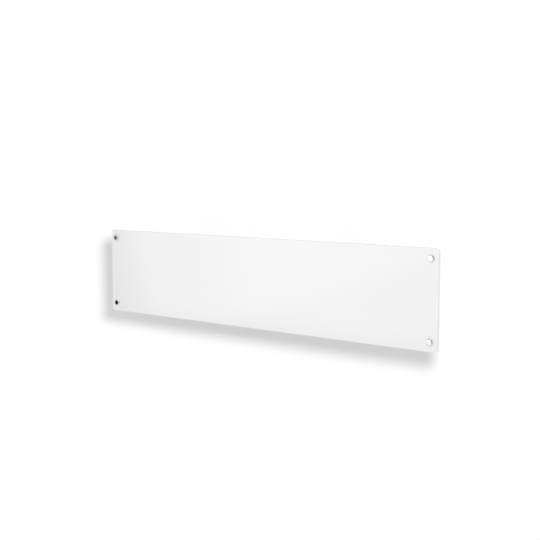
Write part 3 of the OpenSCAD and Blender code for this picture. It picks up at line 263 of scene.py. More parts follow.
def glassFront():
    mat, tree, shader = startMaterial("glassFront", ior=whiteGlass["ior"])
    shader.inputs["Specular IOR Level"].default_value = whiteGlass["shine"]
    coords = objectCoords(tree)
    cloud = noiseAt(tree, coords, whiteGlass["cloudScale"], 2.0)
    waves = noiseAt(tree, coords, whiteGlass["waveScale"], 1.0)
    haze = noiseAt(tree, coords, whiteGlass["hazeScale"], 4.0)
    parts = addNode(tree, "ShaderNodeSeparateXYZ", {0: coords}).outputs
    across = stretchRange(tree, parts["X"], *whiteGlass["patchRange"], 0.0,
                          whiteGlass["patchShare"])
    share = mathNode(tree, "ADD", across,
                     mathNode(tree, "MULTIPLY", cloud, whiteGlass["cloudShare"]))
    tinted = mixColour(tree, share, whiteGlass["ground"], whiteGlass["patch"])
    # painted shade: the face's colour darkens slightly towards its bottom right, standing in for
    # the light falling off there
    paintedShadeSlant = mathNode(tree, "SUBTRACT", parts["X"],
                       mathNode(tree, "MULTIPLY", parts["Z"], whiteGlass["paintedShadeSlope"]))
    paintedShadeShare = stretchRange(tree, paintedShadeSlant, *whiteGlass["paintedShadeRange"], 0.0, 1.0, True)
    tree.links.new(mixColour(tree, paintedShadeShare, tinted, whiteGlass["low"]),
                   shader.inputs["Base Color"])
    tree.links.new(stretchRange(tree, haze, *noiseSpan["narrow"], *whiteGlass["rough"]),
                   shader.inputs["Roughness"])
    setBump(tree, shader, waves, whiteGlass["waveDepth"], whiteGlass["waveStrength"])
    return mat


def glassRim(name, colour, rough, frost):
    mat, tree, shader = startMaterial(name, ior=whiteGlass["ior"])
    shader.inputs["Specular IOR Level"].default_value = whiteGlass["shine"]
    coords = objectCoords(tree)
    streaks = noiseAt(tree, objectCoords(tree, rimPolish["stretch"]), rimPolish["streakScale"])
    tint = noiseAt(tree, coords, rimPolish["tintScale"])
    faded = tuple(c * rimPolish["tintFade"] for c in colour)
    tree.links.new(mixColour(tree, tint, colour, faded), shader.inputs["Base Color"])
    tree.links.new(stretchRange(tree, streaks, *noiseSpan["wide"], rough, rough + frost),
                   shader.inputs["Roughness"])
    setBump(tree, shader, streaks, rimPolish["streakDepth"])
    return mat


# polished chrome with a faint bloom and wiping marks
chrome = {
    "ground": (0.94, 0.94, 0.94),
    "bloom": (0.91, 0.91, 0.915),
    "bloomScale": 150.0,
    "wipeScale": 700.0,
    "wipeSpan": (0.35, 0.7),
    "rough": (0.03, 0.07),
    "wipeDepth": 0.001 * mm,
}


def chromeCap():
    mat, tree, shader = startMaterial("chromeCap", metallic=1.0)
    coords = objectCoords(tree)
    wipe = noiseAt(tree, coords, chrome["wipeScale"], 4.0)
    bloom = noiseAt(tree, coords, chrome["bloomScale"])
    tree.links.new(mixColour(tree, bloom, chrome["ground"], chrome["bloom"]),
                   shader.inputs["Base Color"])
    tree.links.new(stretchRange(tree, wipe, *chrome["wipeSpan"], *chrome["rough"]),
                   shader.inputs["Roughness"])
    setBump(tree, shader, wipe, chrome["wipeDepth"])
    return mat


# hot-dip zinc: flat crystals, each with its own shade and shine
zinc = {
    "pale": (0.64, 0.65, 0.67),
    "dark": (0.43, 0.44, 0.46),
    "haze": (0.52, 0.53, 0.54),
    "hazeScale": 25.0,
    "hazeSpan": (0.4, 0.7),
    "hazeShare": 0.5,
    "crystalScale": 130.0,
    "bendScale": 120.0,
    "bendReach": 4 * mm,
    "rough": (0.28, 0.5),
    "relief": 0.02 * mm,
    "reliefStrength": 0.5,
}


def galvanised():
    mat, tree, shader = startMaterial("galvanised", metallic=0.85)
    coords = objectCoords(tree)
    bends = addNode(tree, "ShaderNodeTexNoise", {
        "Vector": coords, "Scale": zinc["bendScale"], "Detail": 2.0}).outputs["Color"]
    shift = addNode(tree, "ShaderNodeVectorMath", {0: bends, "Scale": zinc["bendReach"]},
                    operation="SCALE").outputs["Vector"]
    bent = addNode(tree, "ShaderNodeVectorMath", {0: coords, 1: shift}).outputs["Vector"]
    crystals = addNode(tree, "ShaderNodeTexVoronoi", {
        "Vector": bent, "Scale": zinc["crystalScale"]})
    shade = addNode(tree, "ShaderNodeSeparateColor", {0: crystals.outputs["Color"]}).outputs
    dull = noiseAt(tree, coords, zinc["hazeScale"])
    crystal = mixColour(tree, shade["Red"], zinc["pale"], zinc["dark"])
    haze = stretchRange(tree, dull, *zinc["hazeSpan"], 0.0, zinc["hazeShare"])
    tree.links.new(mixColour(tree, haze, crystal, zinc["haze"]), shader.inputs["Base Color"])
    tree.links.new(stretchRange(tree, shade["Green"], 0.0, 1.0, *zinc["rough"]),
                   shader.inputs["Roughness"])
    setBump(tree, shader, crystals.outputs["Distance"], zinc["relief"], zinc["reliefStrength"])
    return mat


# circuit boards: lacquer over copper tracks, with the mounted parts beyond the board's face.
# axis and face tell where the board ends, along minus that axis
boardPattern = {
    "flatten": 0.02,
    "cellScale": 260.0,
    "cellRandomness": 0.35,
    "cellReach": 0.2,
    "trackScale": 150.0,
    "trackWidth": 0.06,
    "trackLength": 1.4,
    "partScale": 34.0,
    "grainScale": 900.0,
    "grainShare": 0.2,
    "rough": (0.22, 0.4),
    "relief": 0.03 * mm,
    "reliefStrength": 0.5,
}
boards = {
    "greenBoard": dict(
        lacquer=(0.015, 0.12, 0.045), track=(0.04, 0.24, 0.10), axis="Y", face=-28.8 * mm,
        bodies=[(0.03, 0.03, 0.03), (0.55, 0.42, 0.06), (0.06, 0.14, 0.42), (0.70, 0.68, 0.62),
                (0.04, 0.04, 0.045)]),
    "controlBoard": dict(
        lacquer=(0.015, 0.12, 0.045), track=(0.04, 0.24, 0.10), axis="Z", face=79.79 * mm,
        bodies=[(0.03, 0.03, 0.03), (0.70, 0.68, 0.62), (0.04, 0.04, 0.045)]),
    "blueBoard": dict(
        lacquer=(0.012, 0.05, 0.22), track=(0.03, 0.11, 0.34), axis="Z", face=79.0 * mm,
        bodies=[(0.62, 0.63, 0.64), (0.56, 0.57, 0.58)]),
}


def circuitBoard(name, lacquer, track, axis, face, bodies):
    mat, tree, shader = startMaterial(name)
    coords = objectCoords(tree)
    parts = addNode(tree, "ShaderNodeSeparateXYZ", {0: coords}).outputs
    flat = objectCoords(tree, tuple(boardPattern["flatten"] if a == axis else 1 for a in "XYZ"))
    cells = addNode(tree, "ShaderNodeTexVoronoi", {
        "Vector": flat, "Scale": boardPattern["cellScale"],
        "Randomness": boardPattern["cellRandomness"]}, distance="CHEBYCHEV")
    lines = addNode(tree, "ShaderNodeTexBrick", {
        "Vector": flat, "Color1": (0, 0, 0, 1), "Color2": (0, 0, 0, 1), "Mortar": (1, 1, 1, 1),
        "Scale": boardPattern["trackScale"], "Mortar Size": boardPattern["trackWidth"],
        "Brick Width": boardPattern["trackLength"]})
    grain = noiseAt(tree, coords, boardPattern["grainScale"])
    copper = mathNode(tree, "MULTIPLY", lines.outputs["Color"],
                      mathNode(tree, "GREATER_THAN", cells.outputs["Distance"],
                               boardPattern["cellReach"]))
    board = mixColour(tree, copper, lacquer, track)
    blocks = addNode(tree, "ShaderNodeTexVoronoi", {
        "Vector": flat, "Scale": boardPattern["partScale"]}, distance="MANHATTAN")
    ramp = addNode(tree, "ShaderNodeValToRGB", {
        "Fac": addNode(tree, "ShaderNodeSeparateColor",
                       {0: blocks.outputs["Color"]}).outputs["Red"]})
    ramp.color_ramp.interpolation = "CONSTANT"
    stops = ramp.color_ramp.elements
    while len(stops) < len(bodies):
        stops.new(0.5)
    for index, (stop, colour) in enumerate(zip(stops, bodies)):
        stop.position = index / len(bodies)
        stop.color = (*colour, 1)
    mounted = mathNode(tree, "LESS_THAN", parts[axis], face)
    tree.links.new(mixColour(tree, mounted, board, ramp.outputs["Color"]),
                   shader.inputs["Base Color"])
    tree.links.new(stretchRange(tree, grain, *noiseSpan["wide"], *boardPattern["rough"]),
                   shader.inputs["Roughness"])
    relief = mathNode(tree, "ADD", copper,
                      mathNode(tree, "MULTIPLY", grain, boardPattern["grainShare"]))
    setBump(tree, shader, relief, boardPattern["relief"], boardPattern["reliefStrength"])
    return mat


# a dark acrylic pane over the display, with faint sink marks and wiping marks
acrylic = {
    "ground": (0.014, 0.015, 0.018),
    "cloud": (0.022, 0.021, 0.024),
    "cloudScale": 70.0,
    "cloudDepth": 0.01 * mm,
    "cloudStrength": 0.5,
    "wipeStretch": (0.2, 1, 1),
    "wipeScale": 1500.0,
    "rough": (0.05, 0.12),
    "ior": 1.49,
}


def tintedWindow():
    mat, tree, shader = startMaterial("tintedWindow", ior=acrylic["ior"])
    cloud = noiseAt(tree, objectCoords(tree), acrylic["cloudScale"])
    wipe = noiseAt(tree, objectCoords(tree, acrylic["wipeStretch"]), acrylic["wipeScale"], 4.0)
    tree.links.new(mixColour(tree, cloud, acrylic["ground"], acrylic["cloud"]),
                   shader.inputs["Base Color"])
    tree.links.new(stretchRange(tree, wipe, *noiseSpan["wide"], *acrylic["rough"]),
                   shader.inputs["Roughness"])
    setBump(tree, shader, cloud, acrylic["cloudDepth"], acrylic["cloudStrength"])
    return mat


# the display's lit figures
segmentInk = {
    "ground": (0.62, 0.80, 0.78),
    "patch": (0.50, 0.70, 0.68),
    "patchScale": 700.0,
    "rough": (0.3, 0.5),
    "patchDepth": 0.003 * mm,
}


def litSegment():
    mat, tree, shader = startMaterial("litSegment")
    glow = noiseAt(tree, objectCoords(tree), segmentInk["patchScale"])
    tree.links.new(mixColour(tree, glow, segmentInk["ground"], segmentInk["patch"]),
                   shader.inputs["Base Color"])
    tree.links.new(stretchRange(tree, glow, *noiseSpan["wide"], *segmentInk["rough"]),
                   shader.inputs["Roughness"])
    setBump(tree, shader, glow, segmentInk["patchDepth"])
    return mat


made["galvanised"] = galvanised()
made.update({name: circuitBoard(name, **values) for name, values in boards.items()})
made["tintedWindow"] = tintedWindow()
made["litSegment"] = litSegment()
made["glassFront"] = glassFront()
made.update({name: glassRim(name, **values) for name, values in glassRims.items()})
made["chromeCap"] = chromeCap()
print("glass, chrome, zinc and board finishes made")


# mesh helpers
def closePiece(bm, name, body, materials, replaced=(), sharpAngle=35):
    mesh = bpy.data.meshes.new(name)
    bmesh.ops.recalc_face_normals(bm, faces=bm.faces[:])
    for face in bm.faces:
        face.smooth = True
    bm.to_mesh(mesh)
    bm.free()
    mesh.set_sharp_from_angle(angle=math.radians(sharpAngle))
    for mat in materials:
        mesh.materials.append(made[mat])
    piece = bpy.data.objects.new(name, mesh)
    scene.collection.objects.link(piece)
    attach(piece, body)
    if replaced:
        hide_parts(*replaced)
    return piece


# a profile of (radius, y) points turned about an axis along Y through centre
def turnAboutY(bm, profile, centre, steps):
    verts = [bm.verts.new((centre[0] + r, y, centre[2])) for r, y in profile]
    edges = [bm.edges.new(pair) for pair in zip(verts, verts[1:])]
    bmesh.ops.spin(bm, geom=verts + edges, cent=centre, axis=(0, 1, 0), angle=2 * math.pi,
                   steps=steps, use_merge=True, use_duplicate=False)
    bmesh.ops.remove_doubles(bm, verts=bm.verts[:], dist=0.001 * mm)


# glass front: one pane with round corners, bevelled rims and four drilled holes
pane = {
    "cornerRadius": 9 * mm,
    "cornerSteps": 12,
    "bevel": 0.8 * mm,
    "bevelSteps": 2,
    "holeRadius": 5 * mm,
    "holeSteps": 40,
    "studRadius": 3 * mm,
    "rimShare": 1.2,
    "sharpAngle": 12,
    "flat": 0.99,
    "upright": 0.1,
    # painted shade goes on bevels that face up or to the right beyond this
    "paintedShadeFacing": 0.25,
    "finishes": ["glassFront", "glassEdge", "paintedHighlightBevel", "glassBack", "paintedShadeBevel"],
}


# painted light: the bevels that face up or to the right take the darker bevel colour, painted
# shade, and the others the lighter one, a painted highlight
def paneFinish(normal):
    if normal.y < -pane["flat"]:
        return "glassFront"
    if normal.y > pane["flat"]:
        return "glassBack"
    if abs(normal.y) <= pane["upright"]:
        return "glassEdge"
    return "paintedShadeBevel" if max(normal.x, normal.z) > pane["paintedShadeFacing"] else "paintedHighlightBevel"


def glassPane():
    low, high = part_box("glass_panel")
    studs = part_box("glass_studs")[1]
    holeX, holeZ = studs.x - pane["studRadius"], studs.z - pane["studRadius"]
    bm = bmesh.new()
    bmesh.ops.create_grid(bm, x_segments=1, y_segments=1, size=0.5)
    bmesh.ops.scale(bm, vec=(high.x - low.x, high.z - low.z, 1), verts=bm.verts[:])
    bmesh.ops.bevel(bm, geom=bm.verts[:], offset=pane["cornerRadius"], affect="VERTICES",
                    segments=pane["cornerSteps"], profile=0.5, material=-1)
    bmesh.ops.delete(bm, geom=bm.faces[:], context="FACES_ONLY")
    for x in (-holeX, holeX):
        for z in (-holeZ, holeZ):
            bmesh.ops.create_circle(bm, segments=pane["holeSteps"], radius=pane["holeRadius"],
                                    matrix=Matrix.Translation((x, z, 0)))
    bmesh.ops.triangle_fill(bm, use_beauty=True, edges=bm.edges[:])
    bmesh.ops.rotate(bm, matrix=Matrix.Rotation(math.pi / 2, 3, "X"), verts=bm.verts[:])
    bmesh.ops.translate(bm, vec=(0, low.y, 0), verts=bm.verts[:])
    grown = bmesh.ops.extrude_face_region(bm, geom=bm.faces[:])["geom"]
    bmesh.ops.translate(bm, vec=(0, high.y - low.y, 0),
                        verts=[g for g in grown if isinstance(g, bmesh.types.BMVert)])
    bmesh.ops.recalc_face_normals(bm, faces=bm.faces[:])
    # the outer rims are bevelled, and the holes' rims stay sharp
    outer = pane["rimShare"] * pane["cornerRadius"]
    aroundHole = pane["rimShare"] * pane["holeRadius"]
    rims = []
    for edge in bm.edges:
        x, z = abs(edge.verts[0].co.x), abs(edge.verts[0].co.z)
        slopes = [abs(face.normal.y) for face in edge.link_faces]
        if (abs(edge.verts[0].co.y - edge.verts[1].co.y) < 0.1 * mm
                and len(slopes) == 2 and min(slopes) < 0.5 < max(slopes)
                and (x > high.x - outer or z > high.z - outer)
                and math.hypot(x - holeX, z - holeZ) > aroundHole):
            rims.append(edge)
    bmesh.ops.bevel(bm, geom=rims, offset=pane["bevel"], affect="EDGES",
                    segments=pane["bevelSteps"], profile=0.5, material=-1)
    bm.normal_update()
    for face in bm.faces:
        face.material_index = pane["finishes"].index(paneFinish(face.normal))
    closePiece(bm, "glassPane", "heater", pane["finishes"], ["glass_panel"],
               pane["sharpAngle"])
    print("glass pane: holes at", round(holeX / mm, 1), round(holeZ / mm, 1))


# chrome caps: turned, with a flat face, a chamfer with soft corners and a blind bore
cap = {
    "radius": 7.5 * mm,
    "chamfer": 1.5 * mm,
    "softness": 0.12 * mm,
    "softSteps": (0.3, 1.7),
    "boreRadius": 3.03 * mm,
    "floor": 1.2 * mm,
    "turns": 64,
    "sharpAngle": 25,
}


def glassCaps():
    low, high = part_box("glass_caps")
    r, slope, soft = cap["radius"], cap["chamfer"], cap["softness"]
    near, far = (step * soft for step in cap["softSteps"])
    face, back = low.y, high.y
    rim = r - slope
    depth = face + slope
    # each soft corner has a ring on either side, so that its flats stay flat
    profile = [(0, face + cap["floor"]), (cap["boreRadius"], face + cap["floor"]),
               (cap["boreRadius"], back), (r - 2 * soft, back), (r, back - 2 * soft),
               (r, depth + 2 * soft), (r, depth + soft), (r - near, depth + near),
               (r - soft, depth - soft), (r - far, depth - far), (rim + far, face + far),
               (rim + soft, face + soft), (rim + near, face + near), (rim - soft, face),
               (rim - 2 * soft, face), (0, face)]
    bm = bmesh.new()
    for x in (low.x + r, high.x - r):
        for z in (low.z + r, high.z - r):
            turnAboutY(bm, profile, (x, 0, z), cap["turns"])
    print("four caps turned")
    return closePiece(bm, "glassCaps", "heater", ["chromeCap"], ["glass_caps"],
                      cap["sharpAngle"])


# pan-head screws with a cross recess. Their heads face along Y, forward where side is -1, and
# they stand at plus and minus each column and row
screw = {
    "headRadius": 3.8 * mm,
    "headHeight": 2.2 * mm,
    "rounding": 0.88 * mm,
    "roundingSteps": 4,
    "recessReach": 2.1 * mm,
    "recessHalf": 0.42 * mm,
    "recessDepth": 1.5 * mm,
    "shankRadius": 2 * mm,
    "shankTurns": 16,
    "turns": 32,
}
screwSets = {
    "endScrews": dict(node="end_screws", side=1, columns=(445.5 * mm,), rows=(58 * mm,)),
    "plateScrews": dict(node="plate_screws", side=-1, columns=(0, 213 * mm, 426 * mm),
                        rows=(78 * mm,)),
}


def crossLoop(bm, reach, half):
    corners = [(half, half), (half, reach), (-half, reach), (-half, half), (-reach, half),
               (-reach, -half), (-half, -half), (-half, -reach), (half, -reach), (half, -half),
               (reach, -half), (reach, half)]
    verts = [bm.verts.new((x, y, 0)) for x, y in corners]
    return [bm.edges.new(pair) for pair in zip(verts, verts[1:] + verts[:1])]


def screwHead(bm, place):
    ring = bmesh.ops.create_circle(bm, segments=screw["turns"],
                                   radius=screw["headRadius"])["verts"]
    loops = list({e for v in ring for e in v.link_edges})
    cross = crossLoop(bm, screw["recessReach"], screw["recessHalf"])
    top = bmesh.ops.triangle_fill(bm, use_beauty=True, edges=loops + cross)["geom"]
    topFaces = [g for g in top if isinstance(g, bmesh.types.BMFace)]
    crossVerts = list({v for e in cross for v in e.verts})
    walls = bmesh.ops.extrude_edge_only(bm, edges=cross)["geom"]
    floorEdges = [g for g in walls if isinstance(g, bmesh.types.BMEdge)
                  and not any(v in crossVerts for v in g.verts)]
    floorVerts = [g for g in walls if isinstance(g, bmesh.types.BMVert)]
    bmesh.ops.translate(bm, vec=(0, 0, -screw["recessDepth"]), verts=floorVerts)
    floor = bmesh.ops.triangle_fill(bm, use_beauty=True, edges=floorEdges)["geom"]
    skirt = bmesh.ops.extrude_edge_only(bm, edges=loops)["geom"]
    skirtEdges = [g for g in skirt if isinstance(g, bmesh.types.BMEdge)
                  and not any(v in ring for v in g.verts)]
    skirtVerts = [g for g in skirt if isinstance(g, bmesh.types.BMVert)]
    bmesh.ops.translate(bm, vec=(0, 0, -screw["headHeight"]), verts=skirtVerts)
    seat = bmesh.ops.triangle_fill(bm, use_beauty=True, edges=skirtEdges)["geom"]
    rounded = bmesh.ops.bevel(bm, geom=loops, offset=screw["rounding"], affect="EDGES",
                              segments=screw["roundingSteps"], profile=0.5, material=-1)
    parts = [*topFaces, *walls, *floor, *skirt, *seat, *rounded["faces"]]
    verts = {v for part in parts if part.is_valid
             for v in ([part] if isinstance(part, bmesh.types.BMVert) else part.verts)}
    bmesh.ops.transform(bm, matrix=place, verts=list(verts))


def crossScrews(name, node, side, columns, rows):
    low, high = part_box(node)
    headTop, tip = (high.y, low.y) if side > 0 else (low.y, high.y)
    length = abs(tip - headTop) - screw["headHeight"] / 2
    turn = Matrix.Rotation(-side * math.pi / 2, 4, "X")
    middle = Matrix.Translation((0, 0, -length / 2 - screw["headHeight"] / 2))
    bm = bmesh.new()
    for column in sorted({half * x for x in columns for half in (-1, 1)}):
        for row in sorted({half * z for z in rows for half in (-1, 1)}):
            place = Matrix.Translation((column, headTop, row)) @ turn
            screwHead(bm, place)
            bmesh.ops.create_cone(bm, cap_ends=True, segments=screw["shankTurns"],
                                  radius1=screw["shankRadius"], radius2=screw["shankRadius"],
                                  depth=length, matrix=place @ middle)
    closePiece(bm, name, "heater", ["zincPlate"], [node])


# signs printed on the buttons: a power ring, a minus, a plus and three bars. Lengths without a
# unit are shares of the sign's reach
sign = {
    "reach": 2.0 * mm,
    "line": 0.5 * mm,
    "thick": 0.06 * mm,
    "crossing": 0.0612 * mm,
    "sink": 0.03 * mm,
    "ringGap": 70,
    "ringSteps": 28,
    "stemRise": 0.6,
    "stemLength": 0.9,
    "barPitch": 0.6,
    "barLength": 1.7,
}


def signBar(bm, place, width, height, thick=sign["thick"]):
    size = Matrix.Diagonal((width, height, thick, 1))
    bmesh.ops.create_cube(bm, size=1, matrix=place @ size)


# a ring with a gap in degrees at its top. A full ring closes where its ends are merged
def signRing(bm, place, radius, gap):
    inner, outer = radius - sign["line"] / 2, radius + sign["line"] / 2
    low, high = -sign["thick"] / 2, sign["thick"] / 2
    turn = Matrix.Rotation(math.pi / 2 + math.radians(gap) / 2, 4, "Z")
    before = set(bm.verts)
    section = [bm.verts.new(turn @ Vector((r, 0, z)))
               for r, z in ((inner, low), (outer, low), (outer, high), (inner, high))]
    edges = [bm.edges.new(pair) for pair in zip(section, section[1:] + section[:1])]
    last = bmesh.ops.spin(bm, geom=section + edges, cent=(0, 0, 0), axis=(0, 0, 1),
                          angle=2 * math.pi - math.radians(gap), steps=sign["ringSteps"],
                          use_merge=False, use_duplicate=False)["geom_last"]
    if gap:
        for end in (edges, [g for g in last if isinstance(g, bmesh.types.BMEdge)]):
            bmesh.ops.contextual_create(bm, geom=end)
    else:
        bmesh.ops.remove_doubles(bm, verts=[v for v in bm.verts if v not in before],
                                 dist=0.001 * mm)
    bmesh.ops.transform(bm, matrix=place, verts=[v for v in bm.verts if v not in before])


# the middle of a node's top, where a sign lies half sunk
def topOf(node):
    low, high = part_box(node)
    middle = (low + high) / 2
    return Matrix.Translation((middle.x, middle.y, high.z + sign["thick"] / 2 - sign["sink"]))


def buttonSigns():
    for node in ("button_power", "button_minus", "button_plus", "button_mode"):
        place = topOf(node)
        bm = bmesh.new()
        if node == "button_power":
            signRing(bm, place, sign["reach"], sign["ringGap"])
            signBar(bm, place @ Matrix.Translation((0, sign["stemRise"] * sign["reach"], 0)),
                    sign["line"], sign["stemLength"] * sign["reach"])
        elif node == "button_mode":
            for step in (-1, 0, 1):
                rise = step * sign["barPitch"] * sign["reach"]
                signBar(bm, place @ Matrix.Translation((0, rise, 0)),
                        sign["barLength"] * sign["reach"], sign["line"])
        else:
            signBar(bm, place, 2 * sign["reach"], sign["line"])
            if node == "button_plus":
                signBar(bm, place, sign["line"], 2 * sign["reach"], sign["crossing"])
        closePiece(bm, node + ".sign", node, ["signInk"])


# two seven-segment figures and a degree ring, lit on the display's dark window. A figure lists
# its segments, clockwise from the top with the middle bar last. Places without a unit are shares
# of the figures' pitch
digits = {
    "figures": [(0, 1, 3, 4, 6), (1, 2)],
    "height": 8.6 * mm,
    "width": 4.6 * mm,
    "line": 0.8 * mm,
    "gap": 0.2 * mm,
    "pitch": 7.4 * mm,
    "middle": 0.75,
    "degree": 1.0 * mm,
    "degreePlace": 1.25,
}


def segmentPlaces():
    half, side = digits["height"] / 2, digits["width"] / 2
    long, wide = half - digits["line"] - digits["gap"], 2 * side - digits["line"] - digits["gap"]
    line = digits["line"]
    return [(0, half, wide, line), (side, half / 2, line, long), (side, -half / 2, line, long),
            (0, -half, wide, line), (-side, -half / 2, line, long), (-side, half / 2, line, long),
            (0, 0, wide, line)]


def displayDigits():
    place = topOf("display_window")
    segments = segmentPlaces()
    bm = bmesh.new()
    for index, figure in enumerate(digits["figures"]):
        for segment in figure:
            x, y, width, height = segments[segment]
            offset = ((index - digits["middle"]) * digits["pitch"] + x, y, 0)
            signBar(bm, place @ Matrix.Translation(offset), width, height)
    offset = (digits["degreePlace"] * digits["pitch"],
              digits["height"] / 2 - digits["degree"], 0)
    signRing(bm, place @ Matrix.Translation(offset), digits["degree"], 0)
    closePiece(bm, "displayDigits", "heater", ["litSegment"])


# the rocker's line and ring, each on its own slope of the rocker
rocker = {
    "pivotX": 450.4 * mm,
    "pivotZ": -58 * mm,
    "tilt": 7,
    "dip": 3.6 * mm,
    "slope": 9.7,
    "away": 3.6 * mm,
    "mark": 1.3 * mm,
}


def rockerSigns():
    low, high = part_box("mains_rocker")
    middle = Matrix.Translation((rocker["pivotX"], (low.y + high.y) / 2, rocker["pivotZ"]))
    tilt = Matrix.Rotation(-math.radians(rocker["tilt"]), 4, "Y")
    lift = rocker["dip"] + rocker["away"] * math.tan(math.radians(rocker["slope"]))
    bm = bmesh.new()
    for side in (1, -1):
        slope = Matrix.Rotation(side * math.radians(rocker["slope"]) + math.pi / 2, 4, "Y")
        place = middle @ tilt @ Matrix.Translation((lift, 0, side * rocker["away"])) @ slope
        if side > 0:
            signBar(bm, place, 2 * rocker["mark"], sign["line"])
        else:
            signRing(bm, place, rocker["mark"], 0)
    closePiece(bm, "rockerSigns", "rocker", ["signPaint"])


# the CAD nodes keep their meshes and get their finishes here
worn = {
    "powderWhite": ["carrier_plate", "rear_shell", "end_panel_left", "end_panel_right",
                    "inlet_grille"],
    "galvanised": ["wall_rail", "bracket_arm_left", "bracket_arm_right", "bulkhead",
                   "element_hangers"],
    "zincPlate": ["hinge_pins", "catch_pins", "casing_hooks", "hook_rivets", "catch_strikers",
                  "glass_studs", "stud_nuts"],
    "satinAluminium": ["outlet_grille"],
    "millAluminium": ["element_fins"],
    "rolledAluminium": ["heat_shield"],
    "heatTintedSteel": ["element_rod"],
    "glazedCeramic": ["element_insulators"],
    "blackRubber": ["arm_pads", "glass_spacers", "bulkhead_grommet"],
    "clearRubber": ["cap_washers"],
    "greySilicone": ["keypad"],
    "darkPlastic": ["catch_left", "catch_right", "display_module"],
    "blackPlastic": ["thermal_cutout", "room_sensor", "cord_gland", "gland_nut",
                     "switch_housing"],
    "whitePlastic": ["control_housing", "button_power", "button_minus", "button_plus",
                     "button_mode"],
    "ivoryPlastic": ["board_posts", "terminal_block", "sensor_clip", "wire_clips"],
    "redPlastic": ["mains_rocker"],
    "greenBoard": ["power_board"],
    "controlBoard": ["control_board"],
    "blueBoard": ["wireless_module"],
    "tintedWindow": ["display_window"],
    "redSleeve": ["wiring"],
}


def dressNodes():
    for finish, names in worn.items():
        for name in names:
            mesh = nodes[name].data
            mesh.materials.clear()
            mesh.materials.append(made[finish])
    left = sorted(set(nodes) - {n for names in worn.values() for n in names}
                  - {"glass_panel", "glass_caps", "plate_screws", "end_screws"})
    print("nodes without a finish:", left)


# stage: a white wall and floor that only the camera sees, and only from the room's side. One
# round lamp near the wall lights them alone and throws the heater's soft shadow. The paint's
# shade is the one at paintReach from the lamp
stage = {
    "wallHalf": 6.0,
    "wallY": 0.4 * mm,
    "floorZ": -0.78,
    "floorReach": 6.0,
    "paint": 0.40,
    "paintReach": 2.0,
    "shade": 0.66,
    "lampPlace": (1.251, -1.2, 0.578),
    "lampRadius": 0.218,
    "lampPower": 60.0,
}
# the window lists brightness by degrees to the left of the room's middle. The sill is the slope
# of a look upwards between which the window fades out, and the card leans by cardLean
lights = {
    "keyFrom": (0.1, -1.0, 0.55),
    "keyPower": 1.07,
    "keySoftness": 40.0,
    "backFrom": (0.8, 1.0, 0.4),
    "backPower": 1.4,
    "backSoftness": 120.0,
    "fill": 0.73,
    "behind": 0.8,
    "floor": 0.85,
    "cardLean": 12.0,
    "sill": (0.188, 0.262),
    "floorSpan": (-0.25, -0.5),
    "behindSpan": (-0.1, 0.15),
    "window": [(-90, 0.3), (-60, 0.28), (-42, 0.4), (-20, 0.6), (24, 0.7), (28, 1.25), (31, 1.27),
               (37, 1.38), (41, 1.28), (44, 0.98), (47.2, 0.82), (48.9, 0.05), (49.3, 0.0),
               (82, 0.0), (90, 0.5)],
}


# the paint takes back the lamp's slant, so that the lit wall is even
def stageMaterial():
    mat = bpy.data.materials.new("stageWhite")
    mat.use_nodes = True
    tree = mat.node_tree
    tree.nodes.clear()
    rays = addNode(tree, "ShaderNodeLightPath")
    sides = addNode(tree, "ShaderNodeNewGeometry")
    shown = mathNode(tree, "MULTIPLY", rays.outputs["Is Camera Ray"],
                     mathNode(tree, "SUBTRACT", 1.0, sides.outputs["Backfacing"]))
    away = addNode(tree, "ShaderNodeVectorMath", {0: objectCoords(tree), 1: stage["lampPlace"]},
                   operation="DISTANCE").outputs["Value"]
    paint = mathNode(tree, "MULTIPLY", away, stage["paint"] / stage["paintReach"])
    glow = mathNode(tree, "SUBTRACT", stage["shade"],
                    mathNode(tree, "MULTIPLY", paint, lights["fill"]))
    diffuse = addNode(tree, "ShaderNodeBsdfDiffuse", {"Color": paint})
    glowing = addNode(tree, "ShaderNodeEmission", {"Strength": glow})
    both = addNode(tree, "ShaderNodeAddShader", {0: diffuse.outputs[0], 1: glowing.outputs[0]})
    clear = addNode(tree, "ShaderNodeBsdfTransparent")
    mix = addNode(tree, "ShaderNodeMixShader", {0: shown, 1: clear.outputs[0],
                                                2: both.outputs[0]})
    out = addNode(tree, "ShaderNodeOutputMaterial")
    tree.links.new(mix.outputs[0], out.inputs["Surface"])
    return mat


def makeStage():
    mat = stageMaterial()
    reach = stage["floorReach"]
    places = {
        "stageWall": (Matrix.Translation((0, stage["wallY"], 0))
                      @ Matrix.Rotation(math.pi / 2, 4, "X"), stage["wallHalf"]),
        "stageFloor": (Matrix.Translation((0, stage["wallY"] - reach, stage["floorZ"])), reach),
    }
    planes = []
    for name, (place, half) in places.items():
        bm = bmesh.new()
        bmesh.ops.create_grid(bm, x_segments=1, y_segments=1, size=half)
        bmesh.ops.transform(bm, matrix=place, verts=bm.verts[:])
        mesh = bpy.data.meshes.new(name)
        bm.to_mesh(mesh)
        bm.free()
        mesh.materials.append(mat)
        plane = bpy.data.objects.new(name, mesh)
        scene.collection.objects.link(plane)
        planes.append(plane)
    return planes


# a lamp is linked to the pieces given alone, or to everything but them
def linkLamp(holder, pieces, state):
    linked = bpy.data.collections.new(holder.name + "Links")
    for piece in pieces:
        linked.objects.link(piece)
    for item in linked.collection_objects:
        item.light_linking.link_state = state
    holder.light_linking.receiver_collection = linked


def makeSun(name, source, power, softness, unlit):
    lamp = bpy.data.lights.new(name, "SUN")
    lamp.energy = power
    lamp.angle = math.radians(softness)
    holder = bpy.data.objects.new(name, lamp)
    scene.collection.objects.link(holder)
    holder.rotation_euler = Vector(source).to_track_quat("Z", "Y").to_euler()
    linkLamp(holder, unlit, "EXCLUDE")


